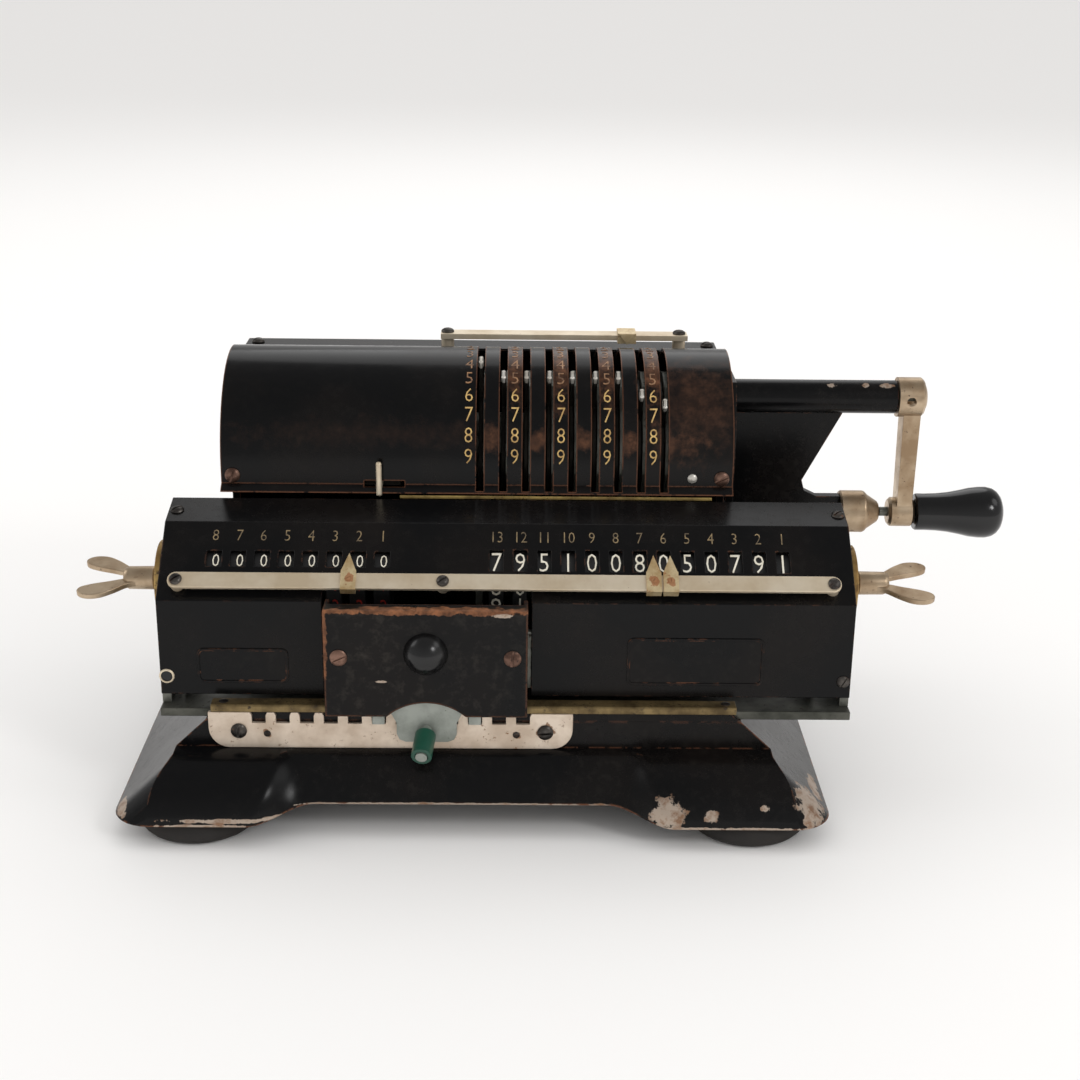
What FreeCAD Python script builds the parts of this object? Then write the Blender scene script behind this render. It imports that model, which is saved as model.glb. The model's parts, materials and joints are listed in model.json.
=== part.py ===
import FreeCAD, Part
import os
from math import sin, cos, tan, asin, atan2, radians, degrees, pi, hypot

# Pinwheel calculator, millimetres, +X right, +Y to the rear, +Z up
# Drawn about the middle of the setting drum (X = 0) and moved at the end, so that the
# origin is the centre of the whole outline on the surface that the feet rest on
V = FreeCAD.Vector

# Clearances
FIT = 0.05
RUN = 0.3
SLIDE = 0.2

# Registers
PITCH = 8.0
RESULT_PLACES = 13
COUNTER_PLACES = 8
SETTING_PLACES = 9
STEPS_SHOWN = 5
UNITS_X = 63.0
COUNTER_GAP = 94.1

# Setting drum and its cover
ROTOR_Y = 33.5
ROTOR_Z = 107.1
COVER_R = 35.0
COVER_T = 1.3
COVER_HALF = 88.8
SLOT_W = 2.7
SLOT_SHIFT = 1.8
LEVER_CLEAR = 0.4
DIGIT_STEP = 12.0
NINE_ANGLE = 9.5
LEVER_TIP_R = 37.2
LEVER_W = 1.5
LEVER_LONG = 3.6
RING_R = 24.0
HUB_R = 11.6
DISC_R = 27.0
DISC_W = 2.6
PIN_W = 2.0
PIN_OUT_R = 29.1
PIN_FIRST = 150.0
SHAFT_R = 5.0
LEVERS_SET = (4, 5, 5, 5, 5, 5, 5, 6, 6.5)

# Rear housing
SHELF_Z = 136.0
REAR_Y = 76.0
REAR_BEND = 3.0
SHEET = 1.4

# Side frames
FRAME_T = 3.0
FRAME_FRONT_Y = 18.0

# Base
BASE_TOP = 35.8
BASE_HALF = 119.0
BASE_LOW = 8.0
SIDE_SLOPE = 1.06
BASE_FRONT = -73.5
BASE_REAR = 86.0
BASE_CORNER_R = 13.0
BASE_T = 1.6
LEDGE_Z = 26.0
SKIRT_LOW = 12.4
WALL_Y = -50.4
LIP_TOP = 39.2
BULGE_IN_LEFT = -70.0
BULGE_IN_RIGHT = 62.0
BULGE_RUN = 13.0
FOOT_R = 20.0
FOOT_X = 92.5
FOOT_INSET = 21.0

# Guides and rack
BED_T = 3.0
KEEPER_T = 2.6
KEEPER_FRONT = -52.0
KEEPER_HALF = 87.5
RACK_T = 1.5
RACK_LEFT = -88.5
RACK_RIGHT = 33.0
RACK_LOW = 26.1
NOTCH_W = 4.6
NOTCH_DEEP = 3.9
NOTCH_FIRST = -71.7
NOTCHES = 12
RACK_CORNER_R = 7.0

# Carriage
CARRIAGE_LEFT = -104.8
CARRIAGE_LONG = 231.0
CARRIAGE_FRONT = -45.3
CARRIAGE_LOW = 42.6
RIDGE_Z = 76.3
TOP_FRONT_Y = -22.2
TOP_FRONT_Z = 95.7
TOP_REAR_Y = -6.4
TOP_REAR_Z = 98.9
END_T = 3.0
BED_REAR = -12.0
HOOK_OVER = 2.5
WINDOW_BACK = 16.1
WINDOW_W = 4.5
WINDOW_H = 8.0
COUNTER_W = 5.0
COUNTER_H = 5.9
WHEEL_DEEP = 14.0
DRUM_R = 12.5
DRUM_W = 5.0
WHEEL_SHAFT_R = 2.5
GEAR_W = 2.0
MODULE = 2.04
NUMBER_TEETH = 10
IDLER_TEETH = 14
STUB = 1.2
RAIL_W = 5.8
RAIL_T = 1.5
RAIL_OFF = 3.0
RAIL_DOWN = 10.5

# Latch and its shield
SHIELD_MID = -15.7
SHIELD_W = 66.7
SHIELD_FRONT = -56.0
SHIELD_LOW = 39.7
SHIELD_TOP = 77.5
SHIELD_LID = 6.3
SHIELD_T = 1.4
ARCH_W = 26.0
ARCH_H = 5.0
KNOB_R = 7.35
KNOB_H = 6.2
KNOB_Z = 62.5
LATCH_T = 1.5
LATCH_TOP = 52.0
LATCH_LIFT = 5.0
LATCH_GUIDE_Z = 49.0
LATCH_GUIDE_R = 1.2
LATCH_PIN_Z = 34.0
LATCH_PIN_LONG = 13.2
LATCH_PIN_R = 2.0
LATCH_PIN_WAY = V(-0.10, -0.93, -0.34)
TONGUE_W = 20.0
TONGUE_LOW = 29.5
LATCH_BAR_W = 37.0

# Clearing nuts
DISC_END_R = 13.0
DISC_END_T = 2.0
DISC_BOSS_T = 1.6
NUT_R = 4.0
NUT_LONG = 10.5
SHANK_R = 2.2
WING_REACH = 25.0

# Crank
CRANK_Z = 125.9
CRANK_THROW = 44.0
TUBE_R = 6.0
TUBE_END = 150.8
GEAR_TEETH = 16
GEAR_X = 74.0
CRANK_SHAFT_R = 3.5
BOSS_X = 151.1
BOSS_W = 9.6
BOSS_R = 5.4
HANDLE_LONG = 33.0
HANDLE_R = 6.8
HANDLE_BULB_R = 9.5
CUP_R = 7.75
CUP_LEFT = 133.0
CUP_MOUTH = 147.6
PIN_R = 1.7
WEB_T = 4.0

# Feet, clearing slot and the pointer rail on the housing
FOOT_TOP = 9.5
CLEAR_SLOT_LEFT = -38.5
CLEAR_SLOT_RIGHT = -27.8
CLEAR_SLOT_DOWN = 4.3
TOP_RAIL_LEFT = -14.9
TOP_RAIL_RIGHT = 76.6
TOP_RAIL_Y = 58.5
TOP_RAIL_W = 7.0
TOP_RAIL_T = 2.0
TOP_RAIL_UP = 4.5
TOP_POINTER_X = 54.0
LIP_STRIP_LEFT = -26.8
LIP_STRIP_RIGHT = 81.4
RAIL_POINTERS_X = (-41.5, 59.0, 64.6)
NUT_TILT = -14.0


# Solids drawn from outlines
def box(x0, x1, y0, y1, z0, z1):
    return Part.makeBox(x1 - x0, y1 - y0, z1 - z0, V(x0, y0, z0))


def face_of(points):
    return Part.Face(Part.makePolygon(points + [points[0]]))


def prism_x(outline, x0, x1):
    return face_of([V(x0, y, z) for y, z in outline]).extrude(V(x1 - x0, 0, 0))


def prism_y(outline, y0, y1):
    return face_of([V(x, y0, z) for x, z in outline]).extrude(V(0, y1 - y0, 0))


def prism_z(outline, z0, z1):
    return face_of([V(x, y, z0) for x, y in outline]).extrude(V(0, 0, z1 - z0))


def rod_x(y, z, r, x0, x1):
    return Part.makeCylinder(r, x1 - x0, V(x0, y, z), V(1, 0, 0))


def rod_y(x, z, r, y0, y1):
    return Part.makeCylinder(r, y1 - y0, V(x, y0, z), V(0, 1, 0))


def ring_points(y, z, r, sides, turn=0.0):
    return [(y - r * cos(radians(turn + 360.0 * i / sides)), z + r * sin(radians(turn + 360.0 * i / sides)))
            for i in range(sides)]


def drum_x(y, z, r, sides, x0, x1):
    # Round piece drawn with flats
    return prism_x(ring_points(y, z, r, sides), x0, x1)


def turned_piece(rings, sides, place, way):
    # Lathe-turned form drawn with flats, its rings given as (distance along, radius) from the first end
    lean = FreeCAD.Rotation(V(0, 0, 1), V(*way))
    turns = [2 * pi * i / sides for i in range(sides)]
    loops = [[V(*place) + lean.multVec(V(r * cos(a), r * sin(a), along)) for a in turns]
             for along, r in rings]
    faces = [face_of(loops[0]), face_of(loops[-1])]
    for low, high in zip(loops[:-1], loops[1:]):
        faces += [face_of([low[i - 1], low[i], high[i], high[i - 1]]) for i in range(sides)]
    solid = Part.Solid(Part.Shell(faces))
    if solid.Volume < 0:
        solid.reverse()
    return solid


def fuse(shapes):
    first, rest = shapes[0], shapes[1:]
    return first.fuse(rest).removeSplitter() if rest else first


def turned(shape, y, z, angle):
    # Positive angles carry the front of a wheel upwards, as the setting levers move to a lower digit
    out = shape.copy()
    out.rotate(V(0, y, z), V(1, 0, 0), -angle)
    return out


# Places worked out from the driving dimensions
CARRIAGE_RIGHT = CARRIAGE_LEFT + CARRIAGE_LONG
HOME_SHIFT = STEPS_SHOWN * PITCH
RESULT_X = [UNITS_X + HOME_SHIFT - PITCH * i for i in range(RESULT_PLACES)]
COUNTER_X = [UNITS_X - COUNTER_GAP - PITCH * i for i in range(COUNTER_PLACES)]
SLOT_X = [UNITS_X + SLOT_SHIFT - PITCH * i for i in range(SETTING_PLACES)]
BED_LOW = LIP_TOP - SLIDE - BED_T
BED_TOP = LIP_TOP - SLIDE
SLANT_LONG = hypot(TOP_FRONT_Y - CARRIAGE_FRONT, TOP_FRONT_Z - RIDGE_Z)
SLANT_Y = (TOP_FRONT_Y - CARRIAGE_FRONT) / SLANT_LONG
SLANT_Z = (TOP_FRONT_Z - RIDGE_Z) / SLANT_LONG
WHEEL_Y = CARRIAGE_FRONT + WINDOW_BACK * SLANT_Y + WHEEL_DEEP * SLANT_Z
WHEEL_Z = RIDGE_Z + WINDOW_BACK * SLANT_Z - WHEEL_DEEP * SLANT_Y
NUMBER_R = MODULE * NUMBER_TEETH / 2
IDLER_R = MODULE * IDLER_TEETH / 2
GEAR_R = (CRANK_Z - ROTOR_Z) / 2
ARM_MID = BOSS_X + BOSS_W / 2
END_REAR = BED_REAR - HOOK_OVER - RUN
SLANT_DEG = degrees(atan2(SLANT_Y, SLANT_Z))
FINGER_X = UNITS_X - COUNTER_GAP - STEPS_SHOWN * PITCH
CUP_Z = CRANK_Z - CRANK_THROW
LATCH_FRONT = WALL_Y - RACK_T - RUN - LATCH_T


def on_slant(along, off):
    # A point on the sloping face: distance up from the ridge, and height off the face
    return (CARRIAGE_FRONT + along * SLANT_Y - off * SLANT_Z, RIDGE_Z + along * SLANT_Z + off * SLANT_Y)


def idler_centre():
    to_pins = PIN_OUT_R + RUN + IDLER_R + STUB
    to_wheel = NUMBER_R + IDLER_R
    dy, dz = WHEEL_Y - ROTOR_Y, WHEEL_Z - ROTOR_Z
    span = hypot(dy, dz)
    along = (to_pins ** 2 - to_wheel ** 2 + span ** 2) / (2 * span)
    off = max(to_pins ** 2 - along ** 2, 0.0) ** 0.5
    return (ROTOR_Y + (dy * along - dz * off) / span, ROTOR_Z + (dz * along + dy * off) / span)


IDLER_Y, IDLER_Z = idler_centre()


# Toothed outline with pointed stub teeth, centred on a tooth at the given angle
def toothed(y, z, pitch_r, teeth, turn, up=STUB, down=STUB + 0.4):
    points = []
    for i in range(teeth):
        for part, r in ((0.0, pitch_r + up), (0.5, pitch_r - down)):
            a = radians(turn + 360.0 * (i + part) / teeth)
            points.append((y - r * cos(a), z + r * sin(a)))
    return points


def angle_to(y0, z0, y1, z1):
    return degrees(atan2(z1 - z0, -(y1 - y0)))


# Base pan
def skirt_spans(bulge):
    # Profile from the ledge down to the rim: share of the skirt's reach, and height
    if bulge:
        spans = ((0.27, LEDGE_Z), (0.60, 22.4), (0.84, 18.4), (0.97, 14.0), (1.0, 10.5), (1.0, BASE_LOW))
    else:
        spans = ((0.13, LEDGE_Z), (0.30, 23.4), (0.42, 20.4), (0.54, 16.4), (0.64, SKIRT_LOW + 0.6),
                 (0.65, SKIRT_LOW))
    return spans


def skirt_profile(side, swell):
    # Between the plain skirt (swell 0) and the bulge over a foot (swell 1)
    sign = -1 if side == "front" else 1
    rim = BASE_FRONT if side == "front" else BASE_REAR
    wall = WALL_Y if side == "front" else REAR_Y
    points = []
    for (flat, flat_z), (full, full_z) in zip(skirt_spans(False), skirt_spans(True)):
        share = flat + (full - flat) * swell
        points.append((wall + sign * abs(rim - wall) * share, flat_z + (full_z - flat_z) * swell))
    return points


def skirt_stations():
    # Places along the skirt with their swell, which eases in and out over each run
    eased = [0.5 - 0.5 * cos(pi * i / 4) for i in range(5)]
    into = [(BULGE_IN_LEFT + BULGE_RUN * i / 4, 1 - eased[i]) for i in range(5)]
    out = [(BULGE_IN_RIGHT - BULGE_RUN * (4 - i) / 4, eased[i]) for i in range(5)]
    return [(-BASE_HALF - 5, 1.0)] + into + out + [(BASE_HALF + 5, 1.0)]


def skirt(side, inset, low_cut):
    sign = -1 if side == "front" else 1
    centre = (BASE_FRONT + BASE_REAR) / 2
    stations = skirt_stations()
    wires = []
    for x, swell in stations:
        outline = [(y - sign * inset, z - (inset * 0.7 if i < 4 else 0)) for i, (y, z) in
                   enumerate(skirt_profile(side, swell))]
        outline[-1] = (outline[-1][0], outline[-1][1] - low_cut)
        outline = outline + [(centre, outline[-1][1]), (centre, LEDGE_Z - inset * 0.7)]
        wires.append(Part.makePolygon([V(x, y, z) for y, z in outline + [outline[0]]]))
    pieces = []
    for i, (a, b) in enumerate(zip(wires[:-1], wires[1:])):
        if stations[i][1] == stations[i + 1][1]:
            pieces.append(Part.Face(a).extrude(V(stations[i + 1][0] - stations[i][0], 0, 0)))
        else:
            pieces.append(Part.makeLoft([a, b], True, True))
    return pieces


def base_block(inset, low_cut):
    top = BASE_TOP - inset
    upper = box(-BASE_HALF - 5, BASE_HALF + 5, WALL_Y + inset, REAR_Y - inset, LEDGE_Z - 3, top)
    block = fuse([upper] + skirt("front", inset, low_cut) + skirt("rear", inset, low_cut))
    # Sloping ends, then the rounded corners of the plan
    low = BASE_LOW - low_cut
    half_low = BASE_HALF - inset * 1.4 + low_cut * SIDE_SLOPE
    half_top = BASE_HALF - inset * 1.4 - (top - BASE_LOW) * SIDE_SLOPE
    ends = prism_y([(-half_low, low), (half_low, low), (half_top, top + 0.01), (-half_top, top + 0.01)],
                   BASE_FRONT - 5, BASE_REAR + 5)
    plan = rounded_plan(BASE_HALF - inset, BASE_FRONT + inset, BASE_REAR - inset, BASE_CORNER_R - inset)
    return block.common(ends).common(prism_z(plan, low - 1, top + 1))


def rounded_plan(half, front, rear, r):
    centres = ((half - r, rear - r), (-half + r, rear - r), (-half + r, front + r), (half - r, front + r))
    points = []
    for i, (x, y) in enumerate(centres):
        for a in range(0, 91, 15):
            turn = radians(90 * i + a)
            points.append((x + r * cos(turn), y + r * sin(turn)))
    return points


def base_shell():
    pan = base_block(0, 0).cut(base_block(BASE_T, 6.0))
    slope_half = BASE_HALF - (BASE_TOP - BASE_LOW) * SIDE_SLOPE
    lip_half = BASE_HALF - (LIP_TOP - BASE_LOW) * SIDE_SLOPE
    lip = prism_y([(-slope_half, BASE_TOP), (slope_half, BASE_TOP), (lip_half, LIP_TOP),
                   (-lip_half, LIP_TOP)],
                  WALL_Y, WALL_Y + 1.5)
    posts = [turned_piece(((0, 5.0), (LEDGE_Z - 0.8 - FOOT_TOP, 5.0)), 8, (x, y, FOOT_TOP), (0, 0, 1))
             for x, y in foot_places()]
    guide = box(-slope_half + 1, slope_half - 1, BED_REAR + SLIDE, BED_REAR + SLIDE + 4, BASE_TOP,
                BED_TOP + SLIDE)
    hook = box(-slope_half + 1, slope_half - 1, BED_REAR - HOOK_OVER, BED_REAR + SLIDE + 4, BED_TOP + SLIDE,
               BED_TOP + 2.0)
    return fuse([pan, lip] + posts + [guide.fuse(hook)])


def foot_places():
    return [(x, y) for x in (-FOOT_X, FOOT_X) for y in (BASE_FRONT + FOOT_INSET, BASE_REAR - FOOT_INSET)]


def rubber_feet():
    rings = ((0, FOOT_R - 2.5), (3.5, FOOT_R), (FOOT_TOP, FOOT_R - 3.0))
    return [turned_piece(rings, 24, (x, y, 0), (0, 0, 1)) for x, y in foot_places()]


def front_guide_rail():
    rear = WALL_Y + 1.5 + 2.6
    slab = box(-KEEPER_HALF, KEEPER_HALF, KEEPER_FRONT, rear, LIP_TOP, LIP_TOP + KEEPER_T)
    edges = [e for e in slab.Edges if abs(e.BoundBox.YMin - KEEPER_FRONT) < 1e-6 and e.BoundBox.YLength < 1e-6
             and abs(e.BoundBox.ZMin - LIP_TOP - KEEPER_T) < 1e-6 and e.BoundBox.XLength > 10]
    return slab.makeFillet(1.0, edges)


def rack_plate():
    top = LIP_TOP - 0.1
    y = WALL_Y - RACK_T
    outline = [(RACK_RIGHT, top), (RACK_LEFT, top)]
    for x, start in ((RACK_LEFT + RACK_CORNER_R, 180), (RACK_RIGHT - RACK_CORNER_R, 270)):
        for a in range(start, start + 91, 15):
            outline.append((x + RACK_CORNER_R * cos(radians(a)),
                            RACK_LOW + RACK_CORNER_R + RACK_CORNER_R * sin(radians(a))))
    plate = prism_y(outline, y, WALL_Y)
    w = NOTCH_W / 2
    for i in range(NOTCHES):
        x = NOTCH_FIRST + PITCH * i
        notch = prism_y([(x - w - 1.0, top + 1), (x - w, top - 1.2), (x - w, top - NOTCH_DEEP),
                         (x + w, top - NOTCH_DEEP),
                         (x + w, top - 1.2), (x + w + 1.0, top + 1)], y - 1, WALL_Y + 1)
        plate = plate.cut(notch)
    return plate


# Side frames, between the base and the drum cover
def frame_outline():
    r = COVER_R - COVER_T - 0.3
    shelf = SHELF_Z - SHEET - 0.1
    rear = REAR_Y - SHEET - 0.1
    first, last = -8.0, 180 - degrees(asin((shelf - ROTOR_Z) / r))
    front = arc_points(r, first, last)
    return front + [(rear - REAR_BEND, shelf), (rear, shelf - REAR_BEND), (rear, BASE_TOP),
                    (FRAME_FRONT_Y, BASE_TOP),
                    (FRAME_FRONT_Y, ROTOR_Z - 10), (FRAME_FRONT_Y - 8, ROTOR_Z - 5)]


def side_frame(side):
    x1 = COVER_HALF - 0.4
    x0 = x1 - FRAME_T
    plate = prism_x(frame_outline(), x0, x1)
    plate = plate.cut(rod_x(ROTOR_Y, ROTOR_Z, SHAFT_R - 1.0 + FIT, x0 - 1, x1 + 1))
    if side == "right":
        plate = plate.cut(rod_x(ROTOR_Y, CRANK_Z, CRANK_SHAFT_R + FIT, x0 - 1, x1 + 1))
        return plate
    return plate.mirror(V(0, 0, 0), V(1, 0, 0))


# Drum cover, an arc of sheet with a slot over each setting lever
def arc_points(r, low, high):
    steps = 14
    turns = [radians(low + (high - low) * i / steps) for i in range(steps + 1)]
    return [(ROTOR_Y - r * cos(a), ROTOR_Z + r * sin(a)) for a in turns]


def arc_band(r0, r1, low, high, x0, x1):
    return prism_x(arc_points(r1, low, high) + arc_points(r0, high, low), x0, x1)


def drum_cover():
    inner = COVER_R - COVER_T
    end = degrees(pi - atan2(SHELF_Z - ROTOR_Z, (COVER_R ** 2 - (SHELF_Z - ROTOR_Z) ** 2) ** 0.5))
    band = arc_band(inner, COVER_R, 0, end, -COVER_HALF, COVER_HALF)
    y = ROTOR_Y - COVER_R
    strip = prism_x([(y, ROTOR_Z), (y, ROTOR_Z - 4.5), (y - 3.2, ROTOR_Z - 6.6), (y - 3.2, ROTOR_Z - 7.0),
                     (y - 2.6, ROTOR_Z - 7.4), (y + COVER_T, ROTOR_Z - 5.2), (y + COVER_T, ROTOR_Z)],
                    -COVER_HALF, COVER_HALF)
    cover = fuse([band, strip])
    # The slots run out through the top edge and down into the flared lip, whose rim stays whole
    half = SLOT_W / 2
    for x in SLOT_X:
        cover = cover.cut(arc_band(inner - 3, LEVER_TIP_R + LEVER_CLEAR, -30, end + 6, x - half, x + half))
    clear_z = ROTOR_Z - CLEAR_SLOT_DOWN
    cover = cover.cut(box(CLEAR_SLOT_LEFT, CLEAR_SLOT_RIGHT, y - 1, y + COVER_T + 2, clear_z - 1.1,
                          clear_z + 1.1))
    return cover


def rear_cover():
    front_y = ROTOR_Y + (COVER_R ** 2 - (SHELF_Z - ROTOR_Z) ** 2) ** 0.5 + 0.1
    half = COVER_HALF - 0.2
    t = SHEET
    bend = REAR_BEND
    outline = [(front_y, SHELF_Z), (REAR_Y - bend, SHELF_Z), (REAR_Y, SHELF_Z - bend), (REAR_Y, BASE_TOP),
               (REAR_Y - t, BASE_TOP), (REAR_Y - t, SHELF_Z - bend - 0.5 * t),
               (REAR_Y - bend - 0.5 * t, SHELF_Z - t),
               (front_y, SHELF_Z - t)]
    cover = prism_x(outline, -half, half)
    # Notches in the shelf's front edge, where the levers run on under it
    deep = ((LEVER_TIP_R + LEVER_CLEAR) ** 2 - (SHELF_Z - t - ROTOR_Z) ** 2) ** 0.5
    w = SLOT_W / 2 + 0.4
    return cover.cut([box(x - w, x + w, front_y - 1, ROTOR_Y + deep, SHELF_Z - t - 1,
                          SHELF_Z + 1) for x in SLOT_X])


def top_pointer_rail():
    z = SHELF_Z + TOP_RAIL_UP
    bar = box(TOP_RAIL_LEFT, TOP_RAIL_RIGHT, TOP_RAIL_Y - TOP_RAIL_W / 2, TOP_RAIL_Y + TOP_RAIL_W / 2, z,
              z + TOP_RAIL_T)
    posts = [turned_piece(((0, 2.4), (TOP_RAIL_UP, 2.4)), 12, (x, TOP_RAIL_Y, SHELF_Z), (0, 0, 1))
             for x in (TOP_RAIL_LEFT + 2.5, TOP_RAIL_RIGHT - 3.0)]
    return fuse([bar] + posts)


def top_pointer():
    # Folded clip round the rail, with a point hanging over its front edge
    z0 = SHELF_Z + TOP_RAIL_UP
    z1 = z0 + TOP_RAIL_T
    y0, y1 = TOP_RAIL_Y - TOP_RAIL_W / 2, TOP_RAIL_Y + TOP_RAIL_W / 2
    g, t = 0.15, 0.8
    far = g + t
    hollow = [(y0 - g, z0 - g), (y1 + g, z0 - g), (y1 + g, z1 + g), (y0 - g, z1 + g)]
    outer = [(y0 - far, z0 - far), (y1 + far, z0 - far), (y1 + far, z1 + far), (y0 - far, z1 + far)]
    x0, x1 = TOP_POINTER_X - 3.4, TOP_POINTER_X + 3.4
    clip = prism_x(outer, x0, x1).cut(prism_x(hollow, x0 - 1, x1 + 1))
    point = prism_y([(x0 + 0.4, z1 + far), (TOP_POINTER_X, z0 - 1.2), (x1 - 0.4, z1 + far)], y0 - far - t,
                    y0 - far)
    return clip.fuse(point)


# Carriage
def cover_outline(t):
    # Outer line of the bent sheet, then back along the inside
    outer = [(CARRIAGE_FRONT, CARRIAGE_LOW), (CARRIAGE_FRONT, RIDGE_Z), (TOP_FRONT_Y, TOP_FRONT_Z),
             (TOP_REAR_Y, TOP_REAR_Z)]
    slope = atan2(SLANT_Z, SLANT_Y)
    lid = atan2(TOP_REAR_Z - TOP_FRONT_Z, TOP_REAR_Y - TOP_FRONT_Y)
    ridge_in = (CARRIAGE_FRONT + t, RIDGE_Z - t * tan((pi / 2 - slope) / 2))
    turn = (slope - lid) / 2
    mid = (slope + lid) / 2
    lid_in = (TOP_FRONT_Y + t * sin(mid) / cos(turn), TOP_FRONT_Z - t * cos(mid) / cos(turn))
    rear_in = (TOP_REAR_Y + t * sin(lid), TOP_REAR_Z - t * cos(lid))
    return outer + [rear_in, lid_in, ridge_in, (CARRIAGE_FRONT + t, CARRIAGE_LOW)]


def window_cutter(x, width, height):
    a, b = WINDOW_BACK - height / 2, WINDOW_BACK + height / 2
    outline = [on_slant(a, 2), on_slant(b, 2), on_slant(b, -3), on_slant(a, -3)]
    return prism_x(outline, x - width / 2, x + width / 2)


def carriage_cover():
    shell = prism_x(cover_outline(SHEET), CARRIAGE_LEFT, CARRIAGE_RIGHT)
    cutters = [window_cutter(x, WINDOW_W, WINDOW_H) for x in RESULT_X]
    cutters += [window_cutter(x, COUNTER_W, COUNTER_H) for x in COUNTER_X]
    half = SHIELD_W / 2 + 1.2
    a, b = on_slant(6.5, 3), on_slant(6.5, -3)
    cutters.append(prism_x([(CARRIAGE_FRONT - 2, CARRIAGE_LOW - 1), (CARRIAGE_FRONT - 2, a[1]), a, b,
                            (CARRIAGE_FRONT + 5, CARRIAGE_LOW - 1)], SHIELD_MID - half, SHIELD_MID + half))
    return shell.cut(cutters)


def carriage_end(x0):
    t = SHEET + 0.05
    inner = cover_outline(t)[4:]
    rear_in, lid_in, ridge_in, low_in = inner
    outline = [(low_in[0], BED_TOP), (low_in[0], ridge_in[1]), lid_in, rear_in, (rear_in[0] - 1.0, 70.0),
               (END_REAR, 55.0), (END_REAR, BED_TOP)]
    plate = prism_x(outline, x0, x0 + END_T)
    return plate.cut(bore(WHEEL_Y, WHEEL_Z, WHEEL_SHAFT_R + FIT, x0 - 1, x0 + END_T + 1))


def carriage_bed():
    front = WALL_Y + 1.5 + SLIDE
    return box(CARRIAGE_LEFT, CARRIAGE_RIGHT, front, BED_REAR, BED_LOW, BED_TOP)


def carriage_bearers():
    # Plates inside the carriage that carry the idler shaft between the registers
    places = (CARRIAGE_LEFT + END_T + 3, RESULT_X[-1] - 7.0, RESULT_X[0] + 11.2)
    plates = []
    for x in places:
        plate = prism_x([(WHEEL_Y - 8, BED_TOP), (END_REAR, BED_TOP), (END_REAR, BED_TOP + 4),
                         (IDLER_Y + 5, IDLER_Z - 3),
                         (IDLER_Y + 5, IDLER_Z + 4), (WHEEL_Y + 2, WHEEL_Z + 8), (WHEEL_Y - 6, WHEEL_Z + 4)],
                        x, x + 2.0)
        plate = plate.cut(bore(WHEEL_Y, WHEEL_Z, WHEEL_SHAFT_R + FIT, x - 1, x + 3))
        plates.append(plate.cut(bore(IDLER_Y, IDLER_Z, WHEEL_SHAFT_R + FIT, x - 1, x + 3)))
    return plates


def register_shafts():
    wheels = rod_x(WHEEL_Y, WHEEL_Z, WHEEL_SHAFT_R, CARRIAGE_LEFT + END_T, CARRIAGE_RIGHT - END_T)
    idlers = rod_x(IDLER_Y, IDLER_Z, WHEEL_SHAFT_R, CARRIAGE_LEFT + END_T + 2, RESULT_X[0] + 13.5)
    return [wheels, idlers]


def bore(y, z, r, x0, x1):
    # Eight flats round a shaft, each touching the running clearance
    return prism_x(ring_points(y, z, r / cos(pi / 8), 8, 22.5), x0, x1)


def figure_drum(x0, x1):
    # Ten flats, one for each figure, with a flat square to the sloping face
    return prism_x(ring_points(WHEEL_Y, WHEEL_Z, DRUM_R, 10, SLANT_DEG + 18), x0, x1)


def result_wheel(x):
    half = DRUM_W / 2
    to_idler = angle_to(WHEEL_Y, WHEEL_Z, IDLER_Y, IDLER_Z)
    gear = prism_x(toothed(WHEEL_Y, WHEEL_Z, NUMBER_R, NUMBER_TEETH, to_idler), x + half,
                   x + half + 0.4 + GEAR_W)
    wheel = figure_drum(x - half, x + half).fuse(gear)
    return wheel.cut(bore(WHEEL_Y, WHEEL_Z, WHEEL_SHAFT_R + FIT, x - PITCH, x + PITCH))


def counter_wheel(x):
    half = DRUM_W / 2
    gear = prism_x(toothed(WHEEL_Y, WHEEL_Z, NUMBER_R, NUMBER_TEETH, 0.0), x + half, x + half + 1.8)
    wheel = figure_drum(x - half - 0.4, x + half).fuse(gear)
    return wheel.cut(bore(WHEEL_Y, WHEEL_Z, WHEEL_SHAFT_R + FIT, x - PITCH, x + PITCH))


def idler(x):
    back = angle_to(IDLER_Y, IDLER_Z, WHEEL_Y, WHEEL_Z) + 180.0 / IDLER_TEETH
    x0 = x + DRUM_W / 2 + 0.4
    gear = prism_x(toothed(IDLER_Y, IDLER_Z, IDLER_R, IDLER_TEETH, back), x0, x0 + GEAR_W)
    return gear.cut(bore(IDLER_Y, IDLER_Z, WHEEL_SHAFT_R + FIT, x - 9, x + 19))


def carriage_pointer_rail():
    mid = WINDOW_BACK - RAIL_DOWN
    low, high = mid - RAIL_W / 2, mid + RAIL_W / 2
    top = RAIL_OFF + RAIL_T
    bar = prism_x([on_slant(low, RAIL_OFF), on_slant(high, RAIL_OFF), on_slant(high, top),
                   on_slant(low, top)],
                  CARRIAGE_LEFT + 4.0, CARRIAGE_RIGHT - 5.2)
    foot = on_slant(mid, 0)
    posts = [turned_piece(((0, 2.2), (RAIL_OFF, 2.2)), 10, (x, foot[0], foot[1]), (0, -SLANT_Z, SLANT_Y))
             for x in rail_screw_places()]
    return fuse([bar] + posts)


def rail_screw_places():
    return (CARRIAGE_LEFT + 6.8, -10.5, CARRIAGE_RIGHT - 7.7)


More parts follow.
